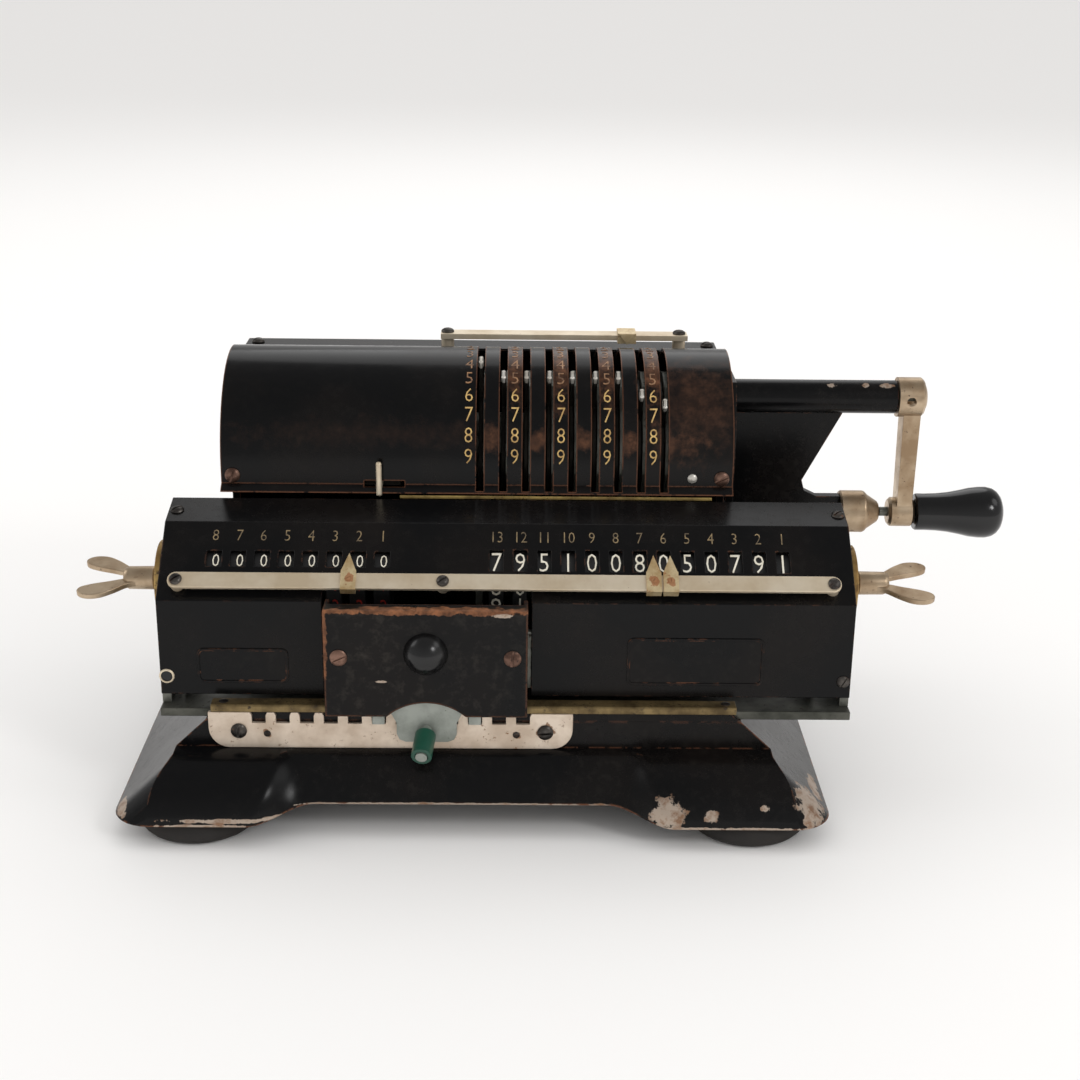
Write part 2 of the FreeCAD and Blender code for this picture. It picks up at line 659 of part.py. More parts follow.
def rail_pointer(x):
    # Folded clip on the carriage rail: flat body, point upwards, two thin legs below
    mid = WINDOW_BACK - RAIL_DOWN
    a, b = mid - RAIL_W / 2, mid + RAIL_W / 2
    g, t = 0.15, 0.7
    low, high = RAIL_OFF - g - t, RAIL_OFF + RAIL_T + g + t
    outer = [on_slant(a - g - t, low), on_slant(b + g + t, low), on_slant(b + g + t, high),
             on_slant(a - g - t, high)]
    hollow = [on_slant(a - g, RAIL_OFF - g), on_slant(b + g, RAIL_OFF - g),
              on_slant(b + g, RAIL_OFF + RAIL_T + g),
              on_slant(a - g, RAIL_OFF + RAIL_T + g)]
    half = 2.5
    clip = prism_x(outer, x - half, x + half).cut(prism_x(hollow, x - half - 1, x + half + 1))
    start = b + g + t
    tip = start + 6.2
    base0, base1 = on_slant(start - 0.5, high), on_slant(start - 0.5, high - t)
    tip0, tip1 = on_slant(tip, high), on_slant(tip, high - t)
    front = Part.makePolygon([V(x - half, *base0), V(x + half, *base0), V(x, *tip0), V(x - half, *base0)])
    normal = V(0, (base1[0] - base0[0]), (base1[1] - base0[1]))
    return clip.fuse(Part.Face(front).extrude(normal))


def latch_shield():
    half = SHIELD_W / 2
    back = CARRIAGE_FRONT - RUN
    x0, x1 = SHIELD_MID - half, SHIELD_MID + half
    shell = box(x0, x1, SHIELD_FRONT, back, SHIELD_LOW, SHIELD_TOP)
    hollow = box(x0 + SHIELD_T, x1 - SHIELD_T, SHIELD_FRONT + SHIELD_T, back + 1, SHIELD_LOW - 1,
                 SHIELD_TOP - SHIELD_T)
    shell = shell.cut(hollow)
    shell = shell.cut(box(x0 + SHIELD_T, x1 - SHIELD_T, SHIELD_FRONT + SHIELD_LID, back + 1, SHIELD_TOP - 9,
                          SHIELD_TOP + 1))
    # The flanges stop above the guide rail
    shell = shell.cut(box(x0 - 1, x1 + 1, KEEPER_FRONT - RUN, back + 1, SHIELD_LOW - 1, CARRIAGE_LOW + 0.4))
    arch_r = (ARCH_W ** 2 / 4 + ARCH_H ** 2) / (2 * ARCH_H)
    shell = shell.cut(rod_y(SHIELD_MID, SHIELD_LOW + ARCH_H - arch_r, arch_r, SHIELD_FRONT - 1,
                            SHIELD_FRONT + SHIELD_T + 0.5))
    edges = [e
             for e in shell.Edges if abs(e.BoundBox.YMax - SHIELD_FRONT) < 1e-6 and e.BoundBox.XLength > half
             and abs(e.BoundBox.ZMin - SHIELD_TOP) < 1e-6]
    shell = shell.makeFillet(1.2, edges)
    deep = back - SHIELD_FRONT - SHIELD_T
    bosses = [turned_piece(((0, 3.0), (deep, 3.0)), 10, (x, SHIELD_FRONT + SHIELD_T, KNOB_Z - 1.5), (0, 1, 0))
              for x in shield_screw_places()]
    return fuse([shell] + bosses)


def shield_screw_places():
    return (SHIELD_MID - 28.4, SHIELD_MID + 28.4)


def shield_bracket():
    # Steel plate inside the carriage opening, which the shield is screwed to
    # The latch slides on its two pins
    half = SHIELD_W / 2 + 5.0
    y = CARRIAGE_FRONT + SHEET
    strap = box(SHIELD_MID - half, SHIELD_MID + half, y, y + 2.0, LATCH_GUIDE_Z - 4.0, KNOB_Z + 3.0)
    lugs = [turned_piece(((0, 3.0), (SHEET + RUN, 3.0)), 10, (x, CARRIAGE_FRONT - RUN, KNOB_Z - 1.5),
                         (0, 1, 0))
            for x in shield_screw_places()]
    reach = LATCH_FRONT - 0.6
    pins = [turned_piece(((0, LATCH_GUIDE_R), (y - reach, LATCH_GUIDE_R)), 10, (x, reach, LATCH_GUIDE_Z),
                         (0, 1, 0))
            for x in latch_guides()]
    return fuse([strap] + lugs + pins)


def thumb_knob():
    # Cap of a sphere, flat against the shield
    r = (KNOB_R ** 2 + KNOB_H ** 2) / (2 * KNOB_H)
    heights = [KNOB_H * share for share in (0.0, 0.3, 0.6, 0.85, 0.97)]
    rings = [(h, (r ** 2 - (h + r - KNOB_H) ** 2) ** 0.5) for h in heights]
    return turned_piece(rings, 20, (SHIELD_MID, SHIELD_FRONT, KNOB_Z), (0, -1, 0))


def latch_guides():
    return (SHIELD_MID - 10.0, SHIELD_MID + 10.0)


def latch_lever():
    x, half, bar = SHIELD_MID, TONGUE_W / 2, LATCH_BAR_W / 2
    r = 3.0
    shoulder = LIP_TOP + KEEPER_T - 1.0
    outline = [(x - half, TONGUE_LOW + r), (x - half + 0.9, TONGUE_LOW + 0.9), (x - half + r, TONGUE_LOW),
               (x + half - r, TONGUE_LOW), (x + half - 0.9, TONGUE_LOW + 0.9), (x + half, TONGUE_LOW + r),
               (x + half, shoulder - 4.3), (x + half + 2.2, shoulder), (x + bar, shoulder),
               (x + bar, LATCH_TOP - 7),
               (x + half + 4, LATCH_TOP), (x - half - 4, LATCH_TOP), (x - bar, LATCH_TOP - 7),
               (x - bar, shoulder),
               (x - half - 2.2, shoulder), (x - half, shoulder - 4.3)]
    plate = prism_y(outline, LATCH_FRONT, LATCH_FRONT + LATCH_T)
    w = NOTCH_W / 2 - RUN
    teeth = [box(x + s * 2 * PITCH - w, x + s * 2 * PITCH + w, LATCH_FRONT, LATCH_FRONT + LATCH_T,
                 LIP_TOP - NOTCH_DEEP + 0.6, shoulder + 1) for s in (-1, 1)]
    lever = fuse([plate] + teeth)
    # Slots for the guide pins, long enough for the lift
    gap = LATCH_GUIDE_R + RUN
    slots = [box(g - gap, g + gap, LATCH_FRONT - 1, LATCH_FRONT + LATCH_T + 1,
                 LATCH_GUIDE_Z - LATCH_LIFT - gap,
                 LATCH_GUIDE_Z + gap) for g in latch_guides()]
    stem = turned_piece(((0, LATCH_PIN_R), (LATCH_PIN_LONG, LATCH_PIN_R)), 12,
                        (x, LATCH_FRONT + 0.8, LATCH_PIN_Z),
                        LATCH_PIN_WAY)
    return lever.cut(slots).fuse(stem)


def latch_sleeve():
    start = V(SHIELD_MID, LATCH_FRONT + 0.8, LATCH_PIN_Z) + LATCH_PIN_WAY * 2.7
    sleeve = turned_piece(((0, 3.5), (10.2, 3.5)), 16, start, LATCH_PIN_WAY)
    inner = LATCH_PIN_R + 2 * FIT
    return sleeve.cut(turned_piece(((0, inner), (20, inner)), 12, start - LATCH_PIN_WAY * 3, LATCH_PIN_WAY))


# Clearing nuts with their wings
def end_disc(x, way):
    disc = turned_piece(((0, DISC_END_R), (DISC_END_T, DISC_END_R)), 28, (x, WHEEL_Y, WHEEL_Z), (way, 0, 0))
    boss = turned_piece(((0, 6.0), (DISC_END_T + DISC_BOSS_T, 6.0)), 16, (x, WHEEL_Y, WHEEL_Z), (way, 0, 0))
    return disc.fuse(boss).cut(bore(WHEEL_Y, WHEEL_Z, WHEEL_SHAFT_R + FIT, x - PITCH, x + PITCH))


def wing_nut(x, way):
    start = x + way * (DISC_END_T + DISC_BOSS_T + RUN)
    hub = turned_piece(((0, NUT_R), (NUT_LONG, NUT_R)), 14, (start, WHEEL_Y, WHEEL_Z), (way, 0, 0))
    inner = x - way * END_T * 0.8
    shank = turned_piece(((0, SHANK_R), (abs(start - inner) + 1.0, SHANK_R)), 12, (inner, WHEEL_Y, WHEEL_Z),
                         (way, 0, 0))
    outline = [(0.5, 2.4), (7.0, 3.4), (12.0, 6.6), (19.0, 8.6), (WING_REACH - 1.5, 7.6), (WING_REACH, 5.2),
               (WING_REACH - 2.0, 2.9), (15.0, 1.6), (NUT_LONG - 1.0, 0.4), (0.5, 0.2)]
    wings = [prism_z([(start + way * px, WHEEL_Y + side * (3.0 + py)) for px, py in outline], WHEEL_Z - 1.0,
                     WHEEL_Z + 1.0)
             for side in (-1, 1)]
    return turned(fuse([hub, shank] + wings), WHEEL_Y, WHEEL_Z, NUT_TILT)


# Rotor with its pinwheels
def rotor_shaft():
    x0, x1 = -(COVER_HALF - 0.4 - FRAME_T), COVER_HALF - 0.4 - FRAME_T
    core = drum_x(ROTOR_Y, ROTOR_Z, SHAFT_R, 16, x0 + RUN, x1 - RUN)
    necks = drum_x(ROTOR_Y, ROTOR_Z, SHAFT_R - 1.0, 16, x0 - FRAME_T * 0.9, x1 + FRAME_T * 0.9)
    gear = prism_x(toothed(ROTOR_Y, ROTOR_Z, GEAR_R, GEAR_TEETH, 90.0, 0.9, 1.3), GEAR_X, GEAR_X + 5.0)
    finger = drum_x(ROTOR_Y, ROTOR_Z, 12.0, 14, FINGER_X - 1.0, FINGER_X + 1.0)
    a = radians(PIN_FIRST + 20)
    ca, sa = cos(a), sin(a)
    blade = [(ROTOR_Y - r * ca + s * sa, ROTOR_Z + r * sa + s * ca) for r, s in
             ((8, -2.2), (PIN_OUT_R, -1.0), (PIN_OUT_R, 1.0), (8, 2.2))]
    finger = finger.fuse(prism_x(blade, FINGER_X - 1.0, FINGER_X + 1.0))
    sleeves = [drum_x(ROTOR_Y, ROTOR_Z, 7.5, 10, a0, a1) for a0, a1 in
               ((SLOT_X[0] + DISC_W + 1.2, GEAR_X), (FINGER_X + 1.0, SLOT_X[-1] - 4.4))]
    return fuse([core, necks, gear, finger] + sleeves)


def pinwheel(x, digits_out):
    # Disc with the pins that the lever has pushed out, on a hub that carries the setting ring
    x0 = x + LEVER_W / 2 + 0.2
    x1 = x0 + DISC_W
    points = []
    for i in range(9):
        a = radians(PIN_FIRST + i * DIGIT_STEP)
        w = PIN_W / 2
        if i < digits_out:
            points += [(ROTOR_Y - r * cos(a) + s * sin(a), ROTOR_Z + r * sin(a) + s * cos(a)) for r, s in
                       ((DISC_R, -w), (PIN_OUT_R, -w), (PIN_OUT_R, w), (DISC_R, w))]
        else:
            points.append((ROTOR_Y - DISC_R * cos(a), ROTOR_Z + DISC_R * sin(a)))
    for angle in range(int(PIN_FIRST + 9 * DIGIT_STEP), int(PIN_FIRST + 360 - DIGIT_STEP), 24):
        points.append((ROTOR_Y - DISC_R * cos(radians(angle)), ROTOR_Z + DISC_R * sin(radians(angle))))
    hub = drum_x(ROTOR_Y, ROTOR_Z, HUB_R, 12, x1 - PITCH + 0.1, x0)
    return prism_x(points, x0, x1).fuse(hub).cut(bore(ROTOR_Y, ROTOR_Z, SHAFT_R + FIT, x - 12, x + 12))


def setting_ring(x, digit):
    # Cam ring on the pinwheel's hub, with the lever that stands out of the slot
    w = LEVER_W / 2
    inner = HUB_R + 0.1
    tip = LEVER_TIP_R
    half = LEVER_LONG / 2
    ring = drum_x(ROTOR_Y, ROTOR_Z, RING_R, 16, x - w, x + w)
    ring = ring.cut(drum_x(ROTOR_Y, ROTOR_Z, inner / cos(pi / 12), 12, x - w - 1, x + w + 1))
    side = [(RING_R - 2, 3.4), (tip - 3, half), (tip - 0.6, half), (tip, half - 0.6)]
    outline = [(r, -s) for r, s in side] + [(r, s) for r, s in reversed(side)]
    arm = prism_x([(ROTOR_Y - r, ROTOR_Z + s) for r, s in outline], x - w, x + w)
    return turned(ring.fuse(arm), ROTOR_Y, ROTOR_Z, NINE_ANGLE + DIGIT_STEP * (9 - digit))


# Crank with its bracket, stop cup and folding lock
def crank_bracket():
    start = COVER_HALF + 0.1
    tube = turned_piece(((0, TUBE_R), (TUBE_END - start, TUBE_R)), 24, (start, ROTOR_Y, CRANK_Z), (1, 0, 0))
    web = prism_y([(start, CRANK_Z), (131.5, CRANK_Z), (131.5, CRANK_Z - TUBE_R), (118.4, 94.5),
                   (119.5, 90.5), (124.0, 88.3),
                   (CUP_LEFT, 88.3), (CUP_LEFT, CUP_Z - 6.0), (118.0, CUP_Z - 8.0), (start, CUP_Z - 26.0)],
                  ROTOR_Y - WEB_T / 2, ROTOR_Y + WEB_T / 2)
    wide = 14.0
    flange = prism_x([(ROTOR_Y - wide, 60.0), (ROTOR_Y + wide, 60.0), (ROTOR_Y + wide, 116.0),
                      (ROTOR_Y + 8, CRANK_Z + 7), (ROTOR_Y - 8, CRANK_Z + 7), (ROTOR_Y - wide, 116.0)],
                     start, start + 3.0)
    return fuse([tube, web, flange]).cut(rod_x(ROTOR_Y, CRANK_Z, CRANK_SHAFT_R + FIT, start - 1,
                                               TUBE_END + 1))


def stop_cup():
    # Turned cup with a mouth that the lock pin drops into
    start = CUP_LEFT + 0.05
    body = turned_piece(((0, CUP_R), (CUP_MOUTH - 4.8 - start, CUP_R), (CUP_MOUTH - start, 3.0)), 20,
                        (start, ROTOR_Y, CUP_Z), (1, 0, 0))
    return body.cut(bore(ROTOR_Y, CUP_Z, PIN_R + 0.2, CUP_MOUTH - 6.0, CUP_MOUTH + 1))


def crank_shaft():
    core = rod_x(ROTOR_Y, CRANK_Z, CRANK_SHAFT_R, GEAR_X - 3.0, BOSS_X + BOSS_W - 1.5)
    gear = prism_x(toothed(ROTOR_Y, CRANK_Z, GEAR_R, GEAR_TEETH, -90.0 + 180.0 / GEAR_TEETH, 0.9, 1.3),
                   GEAR_X,
                   GEAR_X + 5.0)
    return core.fuse(gear)


def crank_arm():
    # The lower end is forged round, its outer face rounded off
    upper = turned_piece(((0, 7.2), (BOSS_W - 1, 7.2), (BOSS_W, 6.2)), 20, (BOSS_X, ROTOR_Y, CRANK_Z),
                         (1, 0, 0))
    lower = turned_piece(((0, BOSS_R - 1), (1, BOSS_R), (BOSS_W - 1, BOSS_R), (BOSS_W, BOSS_R - 1)), 20,
                         (BOSS_X, ROTOR_Y, CUP_Z), (1, 0, 0))
    bar = prism_y([(ARM_MID - 2.0, CUP_Z), (ARM_MID + 3.4, CUP_Z), (ARM_MID + 3.8, CRANK_Z),
                   (ARM_MID - 2.6, CRANK_Z)],
                  ROTOR_Y - 4.2, ROTOR_Y + 4.2)
    bores = [rod_x(ROTOR_Y, CRANK_Z, CRANK_SHAFT_R + FIT, BOSS_X - 1, BOSS_X + BOSS_W - 1.5),
             bore(ROTOR_Y, CUP_Z, PIN_R + FIT, BOSS_X - 1, BOSS_X + BOSS_W + 1)]
    return fuse([upper, lower, bar]).cut(bores)


def crank_handle():
    r0, r1 = HANDLE_R, HANDLE_BULB_R
    swell = ((0.0, r0), (0.25, r0 + 0.2), (0.5, r0 + 0.45 * (r1 - r0)), (0.68, r1 - 0.3), (0.8, r1),
             (0.9, 0.9 * r1),
             (0.97, 0.62 * r1), (1.0, 0.25 * r1))
    return turned_piece([(HANDLE_LONG * share, r) for share, r in swell], 20,
                        (BOSS_X + BOSS_W + RUN, ROTOR_Y, CUP_Z), (1, 0, 0))


def lock_pin():
    start = CUP_MOUTH + RUN
    return turned_piece(((0, PIN_R), (BOSS_X + BOSS_W + RUN - start, PIN_R)), 12, (start, ROTOR_Y, CUP_Z),
                        (1, 0, 0))


def clearing_lever():
    y = ROTOR_Y - COVER_R
    z = ROTOR_Z - CLEAR_SLOT_DOWN
    x = CLEAR_SLOT_LEFT + 4.6
    tab = box(x - 1.0, x + 1.0, y - 3.4, y + COVER_T + 4.0, z - 0.9, z + 0.9)
    head = box(x - 1.0, x + 1.0, y - 4.4, y - 2.6, z - 0.9, z + 5.2)
    plate = box(x - 7.0, x + 7.0, y + COVER_T + 0.3, y + COVER_T + 1.3, z - 2.0, z + 2.0)
    return fuse([tab, head, plate])


def lip_strip():
    # Narrow strip hung under the rim of the cover's lip
    y = ROTOR_Y - COVER_R - 3.0
    z = ROTOR_Z - 7.4
    return prism_x([(y, z), (y - 0.5, z - 0.2), (y - 0.5, z - 1.1), (y, z - 1.1)], LIP_STRIP_LEFT,
                   LIP_STRIP_RIGHT)


# Heads of screws and rivets, each flat on what it holds
def head(place, way, r, h):
    return turned_piece(((0, r), (h * 0.55, r * 0.9), (h, r * 0.5)), 8, place, way)


def cover_screws():
    y = ROTOR_Y - COVER_R
    heads = [head((x, y, ROTOR_Z - 1.6), (0, -1, 0), r, 1.3) for x,
             r in ((-84.8, 2.3), (84.8, 2.3), (74.6, 1.6))]
    heads += [head((x, 66.5, SHELF_Z), (0, 0, 1), 2.4, 1.6) for x in (-84.0, 85.0)]
    heads += [head((x, REAR_Y, z), (0, 1, 0), 2.4, 1.4) for x in (-84.0, 84.0) for z in (50.0, 120.0)]
    z = SHELF_Z + TOP_RAIL_UP + TOP_RAIL_T
    heads += [head((x, TOP_RAIL_Y, z), (0, 0, 1), 2.4, 1.5) for x in (TOP_RAIL_LEFT + 2.5,
                                                                      TOP_RAIL_RIGHT - 3.0)]
    return heads


def base_screws():
    y = WALL_Y - RACK_T
    heads = [head((x, y, 32.4), (0, -1, 0), 2.7, 1.4) for x in (RACK_LEFT + 10.1, RACK_RIGHT - 9.2)]
    heads += [head((x, y, 31.4), (0, -1, 0), 1.2, 0.5) for x in (RACK_LEFT + 19.5, RACK_RIGHT - 18.9)]
    z = LIP_TOP + KEEPER_T
    heads += [head((x, WALL_Y + 0.9, z), (0, 0, 1), 1.6, 0.4) for x in (-83.5, 84.0)]
    return heads


def carriage_screws():
    lid = atan2(TOP_REAR_Z - TOP_FRONT_Z, TOP_REAR_Y - TOP_FRONT_Y)
    up = (0, -sin(lid), cos(lid))
    y = -15.0
    z = TOP_FRONT_Z + (y - TOP_FRONT_Y) * tan(lid)
    heads = [head((x, y, z), up, 2.3, 1.3) for x in (CARRIAGE_LEFT + 3.0, CARRIAGE_RIGHT - 2.6)]
    heads.append(head((CARRIAGE_RIGHT - 2.6, CARRIAGE_FRONT, 48.6), (0, -1, 0), 2.2, 1.0))
    foot = on_slant(WINDOW_BACK - RAIL_DOWN, RAIL_OFF + RAIL_T)
    heads += [head((x, foot[0], foot[1]), (0, -SLANT_Z, SLANT_Y), 2.1, 1.3) for x in rail_screw_places()]
    heads += [head((x, SHIELD_FRONT, KNOB_Z - 1.5), (0, -1, 0), 2.8, 1.1) for x in shield_screw_places()]
    for x, way in ((CARRIAGE_LEFT, -1), (CARRIAGE_RIGHT, 1)):
        heads.append(head((x, WHEEL_Y - 13.2, WHEEL_Z - 10.2), (way, 0, 0), 2.3, 1.6))
    return heads


# Origin, the centre of the whole outline on the floor
LEFT_TIP = CARRIAGE_LEFT - (DISC_END_T + DISC_BOSS_T + RUN) - WING_REACH
RIGHT_TIP = BOSS_X + BOSS_W + RUN + HANDLE_LONG
ORIGIN = V((LEFT_TIP + RIGHT_TIP) / 2, (BASE_FRONT + BASE_REAR) / 2, 0)


def save(name, shapes):
    solids = [s for shape in (shapes if isinstance(shapes, list) else [shapes]) for s in shape.Solids]
    whole = Part.makeCompound(solids) if len(solids) > 1 else solids[0]
    whole.translate(-ORIGIN)
    whole.exportStep("parts/" + name + ".step")
    print(name, len(solids), round(sum(s.Volume for s in solids)), all(s.isValid() for s in solids))


def main():
    os.makedirs("parts", exist_ok=True)
    save("base_shell", base_shell())
    save("rubber_feet", rubber_feet())
    save("front_guide_rail", front_guide_rail())
    save("rack_plate", rack_plate())
    save("left_side_frame", side_frame("left"))
    save("right_side_frame", side_frame("right"))
    save("crank_bracket", crank_bracket())
    save("stop_cup", stop_cup())
    save("drum_cover", drum_cover())
    save("rear_cover", rear_cover())
    save("top_pointer_rail", top_pointer_rail())
    save("top_pointer", top_pointer())
    save("lip_strip", lip_strip())
    save("cover_screws", cover_screws())
    save("base_screws", base_screws())
    save("clearing_lever", clearing_lever())
    save("rotor_shaft", rotor_shaft())
    for i, digit in enumerate(LEVERS_SET):
        x = SLOT_X[SETTING_PLACES - 1 - i]
        save("pinwheel_%d" % (i + 1), pinwheel(x, int(digit)))
        save("setting_ring_%d" % (i + 1), setting_ring(x, digit))
    save("crank_shaft", crank_shaft())
    save("crank_arm", crank_arm())
    save("crank_handle", crank_handle())
    save("lock_pin", lock_pin())
    save("carriage_cover", carriage_cover())
    save("carriage_bed", carriage_bed())
    save("carriage_ends", [carriage_end(CARRIAGE_LEFT), carriage_end(CARRIAGE_RIGHT - END_T)])
    save("carriage_bearers", carriage_bearers())
    save("register_shafts", register_shafts())
    save("result_wheels", [result_wheel(x) for x in RESULT_X])
    save("counter_wheels", [counter_wheel(x) for x in COUNTER_X])
    save("idler_gears", [idler(x) for x in RESULT_X])
    save("carriage_pointer_rail", carriage_pointer_rail())
    for i, x in enumerate(RAIL_POINTERS_X):
        save("rail_pointer_%d" % (i + 1), rail_pointer(x))
    save("latch_shield", latch_shield())
    save("shield_bracket", shield_bracket())
    save("thumb_knob", thumb_knob())
    save("latch_lever", latch_lever())
    save("latch_sleeve", latch_sleeve())
    save("end_discs", [end_disc(CARRIAGE_LEFT, -1), end_disc(CARRIAGE_RIGHT, 1)])
    save("left_wing_nut", wing_nut(CARRIAGE_LEFT, -1))
    save("right_wing_nut", wing_nut(CARRIAGE_RIGHT, 1))
    save("carriage_screws", carriage_screws())
    print("origin", ORIGIN, "wheel", round(WHEEL_Y, 3), round(WHEEL_Z, 3), "idler", round(IDLER_Y, 3),
          round(IDLER_Z, 3))


main()
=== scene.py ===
import json
from math import asin, atan2, cos, degrees, pi, radians, sin

import bpy
from mathutils import Matrix, Vector


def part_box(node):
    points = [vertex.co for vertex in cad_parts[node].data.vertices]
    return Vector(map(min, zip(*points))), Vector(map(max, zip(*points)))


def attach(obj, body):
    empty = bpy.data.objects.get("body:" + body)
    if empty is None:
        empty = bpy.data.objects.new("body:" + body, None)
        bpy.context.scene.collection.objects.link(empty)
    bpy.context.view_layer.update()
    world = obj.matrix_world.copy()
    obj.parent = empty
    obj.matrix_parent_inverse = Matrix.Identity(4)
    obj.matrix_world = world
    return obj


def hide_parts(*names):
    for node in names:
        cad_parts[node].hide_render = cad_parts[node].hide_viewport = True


bl_info = {
    "name": "Pinwheel calculator",
    "version": (1, 0, 0),
    "blender": (4, 5, 0),
    "location": "3D View > Sidebar > Calculator",
    "description": "Lacquered covers, figure wheels, plated fittings and wear for a hand-cranked calculator",
    "category": "Object",
}

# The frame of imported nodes, in metres; sizes below are in millimetres
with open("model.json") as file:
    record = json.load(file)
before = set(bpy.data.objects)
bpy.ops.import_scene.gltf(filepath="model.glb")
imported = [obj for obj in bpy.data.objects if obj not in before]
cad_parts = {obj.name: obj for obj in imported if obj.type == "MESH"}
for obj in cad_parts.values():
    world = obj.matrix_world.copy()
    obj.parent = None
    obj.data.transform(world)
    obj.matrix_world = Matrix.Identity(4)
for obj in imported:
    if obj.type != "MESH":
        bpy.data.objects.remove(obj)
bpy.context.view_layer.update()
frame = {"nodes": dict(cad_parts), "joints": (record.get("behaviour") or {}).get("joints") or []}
MM = 0.001
ORIGIN = Vector((0, 0, 0))
UPWARD = (0, 0, 1)
TO_FRONT = (0, -1, 0)
TO_RIGHT = (1, 0, 0)
JOINTS = {joint["name"]: joint for joint in frame["joints"]}


def node_box(node):
    low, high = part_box(node)
    return low / MM, high / MM


def joint_place(name):
    return Vector(JOINTS[name]["pos_m"]) / MM


# Places read from the frame
ROTOR = joint_place("rotor_turn")
CRANK = joint_place("crank_turn")
WHEELS = joint_place("results_turn")
CARRIAGE_LOW, CARRIAGE_HIGH = node_box("carriage_cover")
BASE_LOW, BASE_HIGH = node_box("base_shell")
SHIELD_LOW, SHIELD_HIGH = node_box("latch_shield")
KNOB_LOW, KNOB_HIGH = node_box("thumb_knob")
CUP_LOW, CUP_HIGH = node_box("stop_cup")
RACK_LOW, RACK_HIGH = node_box("rack_plate")
KEEPER_LOW, KEEPER_HIGH = node_box("front_guide_rail")
SHELF_HIGH = node_box("rear_cover")[1]
TOP_RAIL_LOW, TOP_RAIL_HIGH = node_box("top_pointer_rail")
HANDLE_LOW, HANDLE_HIGH = node_box("crank_handle")
DRUM_LOW, DRUM_HIGH = node_box("drum_cover")
MID_X = (BASE_LOW.x + BASE_HIGH.x) / 2
DRUM_MID_X = (DRUM_LOW.x + DRUM_HIGH.x) / 2

# Register pitch, the digits that the levers show, and the degrees from one digit to the next
PITCH = 8.0
DIGITS_SET = (4, 5, 5, 5, 5, 5, 5, 6, 6.5)
DIGIT_STEP = 12.0
NINE_ANGLE = 9.5
RESULT_SHOWN = "7951008050791"
COUNTER_SHOWN = "00000000"
UNITS_X = node_box("setting_ring_9")[0].x + 0.75
FIRST_SLOT_X = node_box("setting_ring_1")[0].x + 0.75
RESULT_UNITS_X = UNITS_X - 1.8 + 5 * PITCH
COUNTER_UNITS_X = UNITS_X - 1.8 - 94.1
CUP_MID = Vector((CUP_LOW.x, (CUP_LOW.y + CUP_HIGH.y) / 2, (CUP_LOW.z + CUP_HIGH.z) / 2))

# Base pan: heights of its flat top, the lip on that, the ledge and the rim; sheet, half length of the top,
# corner radius, and how far its ends lean out for each mm down
PAN_TOP = 35.8
PAN_LIP_TOP = 39.2
LEDGE = 26.0
PAN_RIM = 8.0
PAN_SHEET = 1.6
PAN_TOP_HALF = 89.5
PAN_CORNER = 13.0
PAN_LEAN = 1.06

# Front and rear of the carriage's guide on the pan and its top, then the flanks beside the pan's feet
GUIDE_Y = (-18.05, -14.05)
GUIDE_TOP = 41.0
FLANKS_X = (MID_X - 63.5, MID_X + 55.5)
FOOT_RADIUS = 20.0

# Screws on the shelf and on the carriage's lid
SHELF_SCREW_Y = 60.25
LID_SCREW_Y = -21.25

# Height of the clearing lever's slot in the drum cover
CLEARING_Z = ROTOR.z - 4.3

# Wing nuts: how far they reach from the disc, their thickness and the tilt that they rest at
WING_REACH = 25.0
LEAF_THICK = 2.0
WING_TILT = 14.0

# Pointer rail of the carriage: width, thickness and height over the slope
RAIL_WIDE = 5.8
RAIL_THICK = 1.5
RAIL_OFF = 3.0

# The carriage's sloping face, from its ridge to its upper bend
RIDGE = Vector((0.0, CARRIAGE_LOW.y, 76.3))
SLOPE_TOP = Vector((0.0, CARRIAGE_LOW.y + 23.1, 95.7))
SLOPE = (SLOPE_TOP - RIDGE).normalized()
SLOPE_OUT = Vector((0.0, -SLOPE.z, SLOPE.y))
WINDOW_UP = 16.1
RAIL_UP = WINDOW_UP - 10.5
POINTERS_X = [(low.x + high.x) / 2 for low, high in (node_box("rail_pointer_%d" % i) for i in (1, 2, 3))]
RAIL_SCREWS_X = (CARRIAGE_LOW.x + 6.8, CARRIAGE_LOW.x + 94.3, CARRIAGE_HIGH.x - 7.7)


def on_slope(x, along, off=0.0):
    place = RIDGE + SLOPE * along + SLOPE_OUT * off
    return Vector((x, place.y, place.z))


def on_drum(x, angle, radius):
    a = radians(angle)
    return Vector((x, ROTOR.y - radius * cos(a), ROTOR.z + radius * sin(a)))


def digit_angle(digit):
    return NINE_ANGLE + DIGIT_STEP * (9 - digit)


def linear(hex_colour):
    values = [int(hex_colour[i:i + 2], 16) / 255 for i in (1, 3, 5)]
    return tuple(v / 12.92 if v <= 0.04045 else ((v + 0.055) / 1.055) ** 2.4 for v in values)


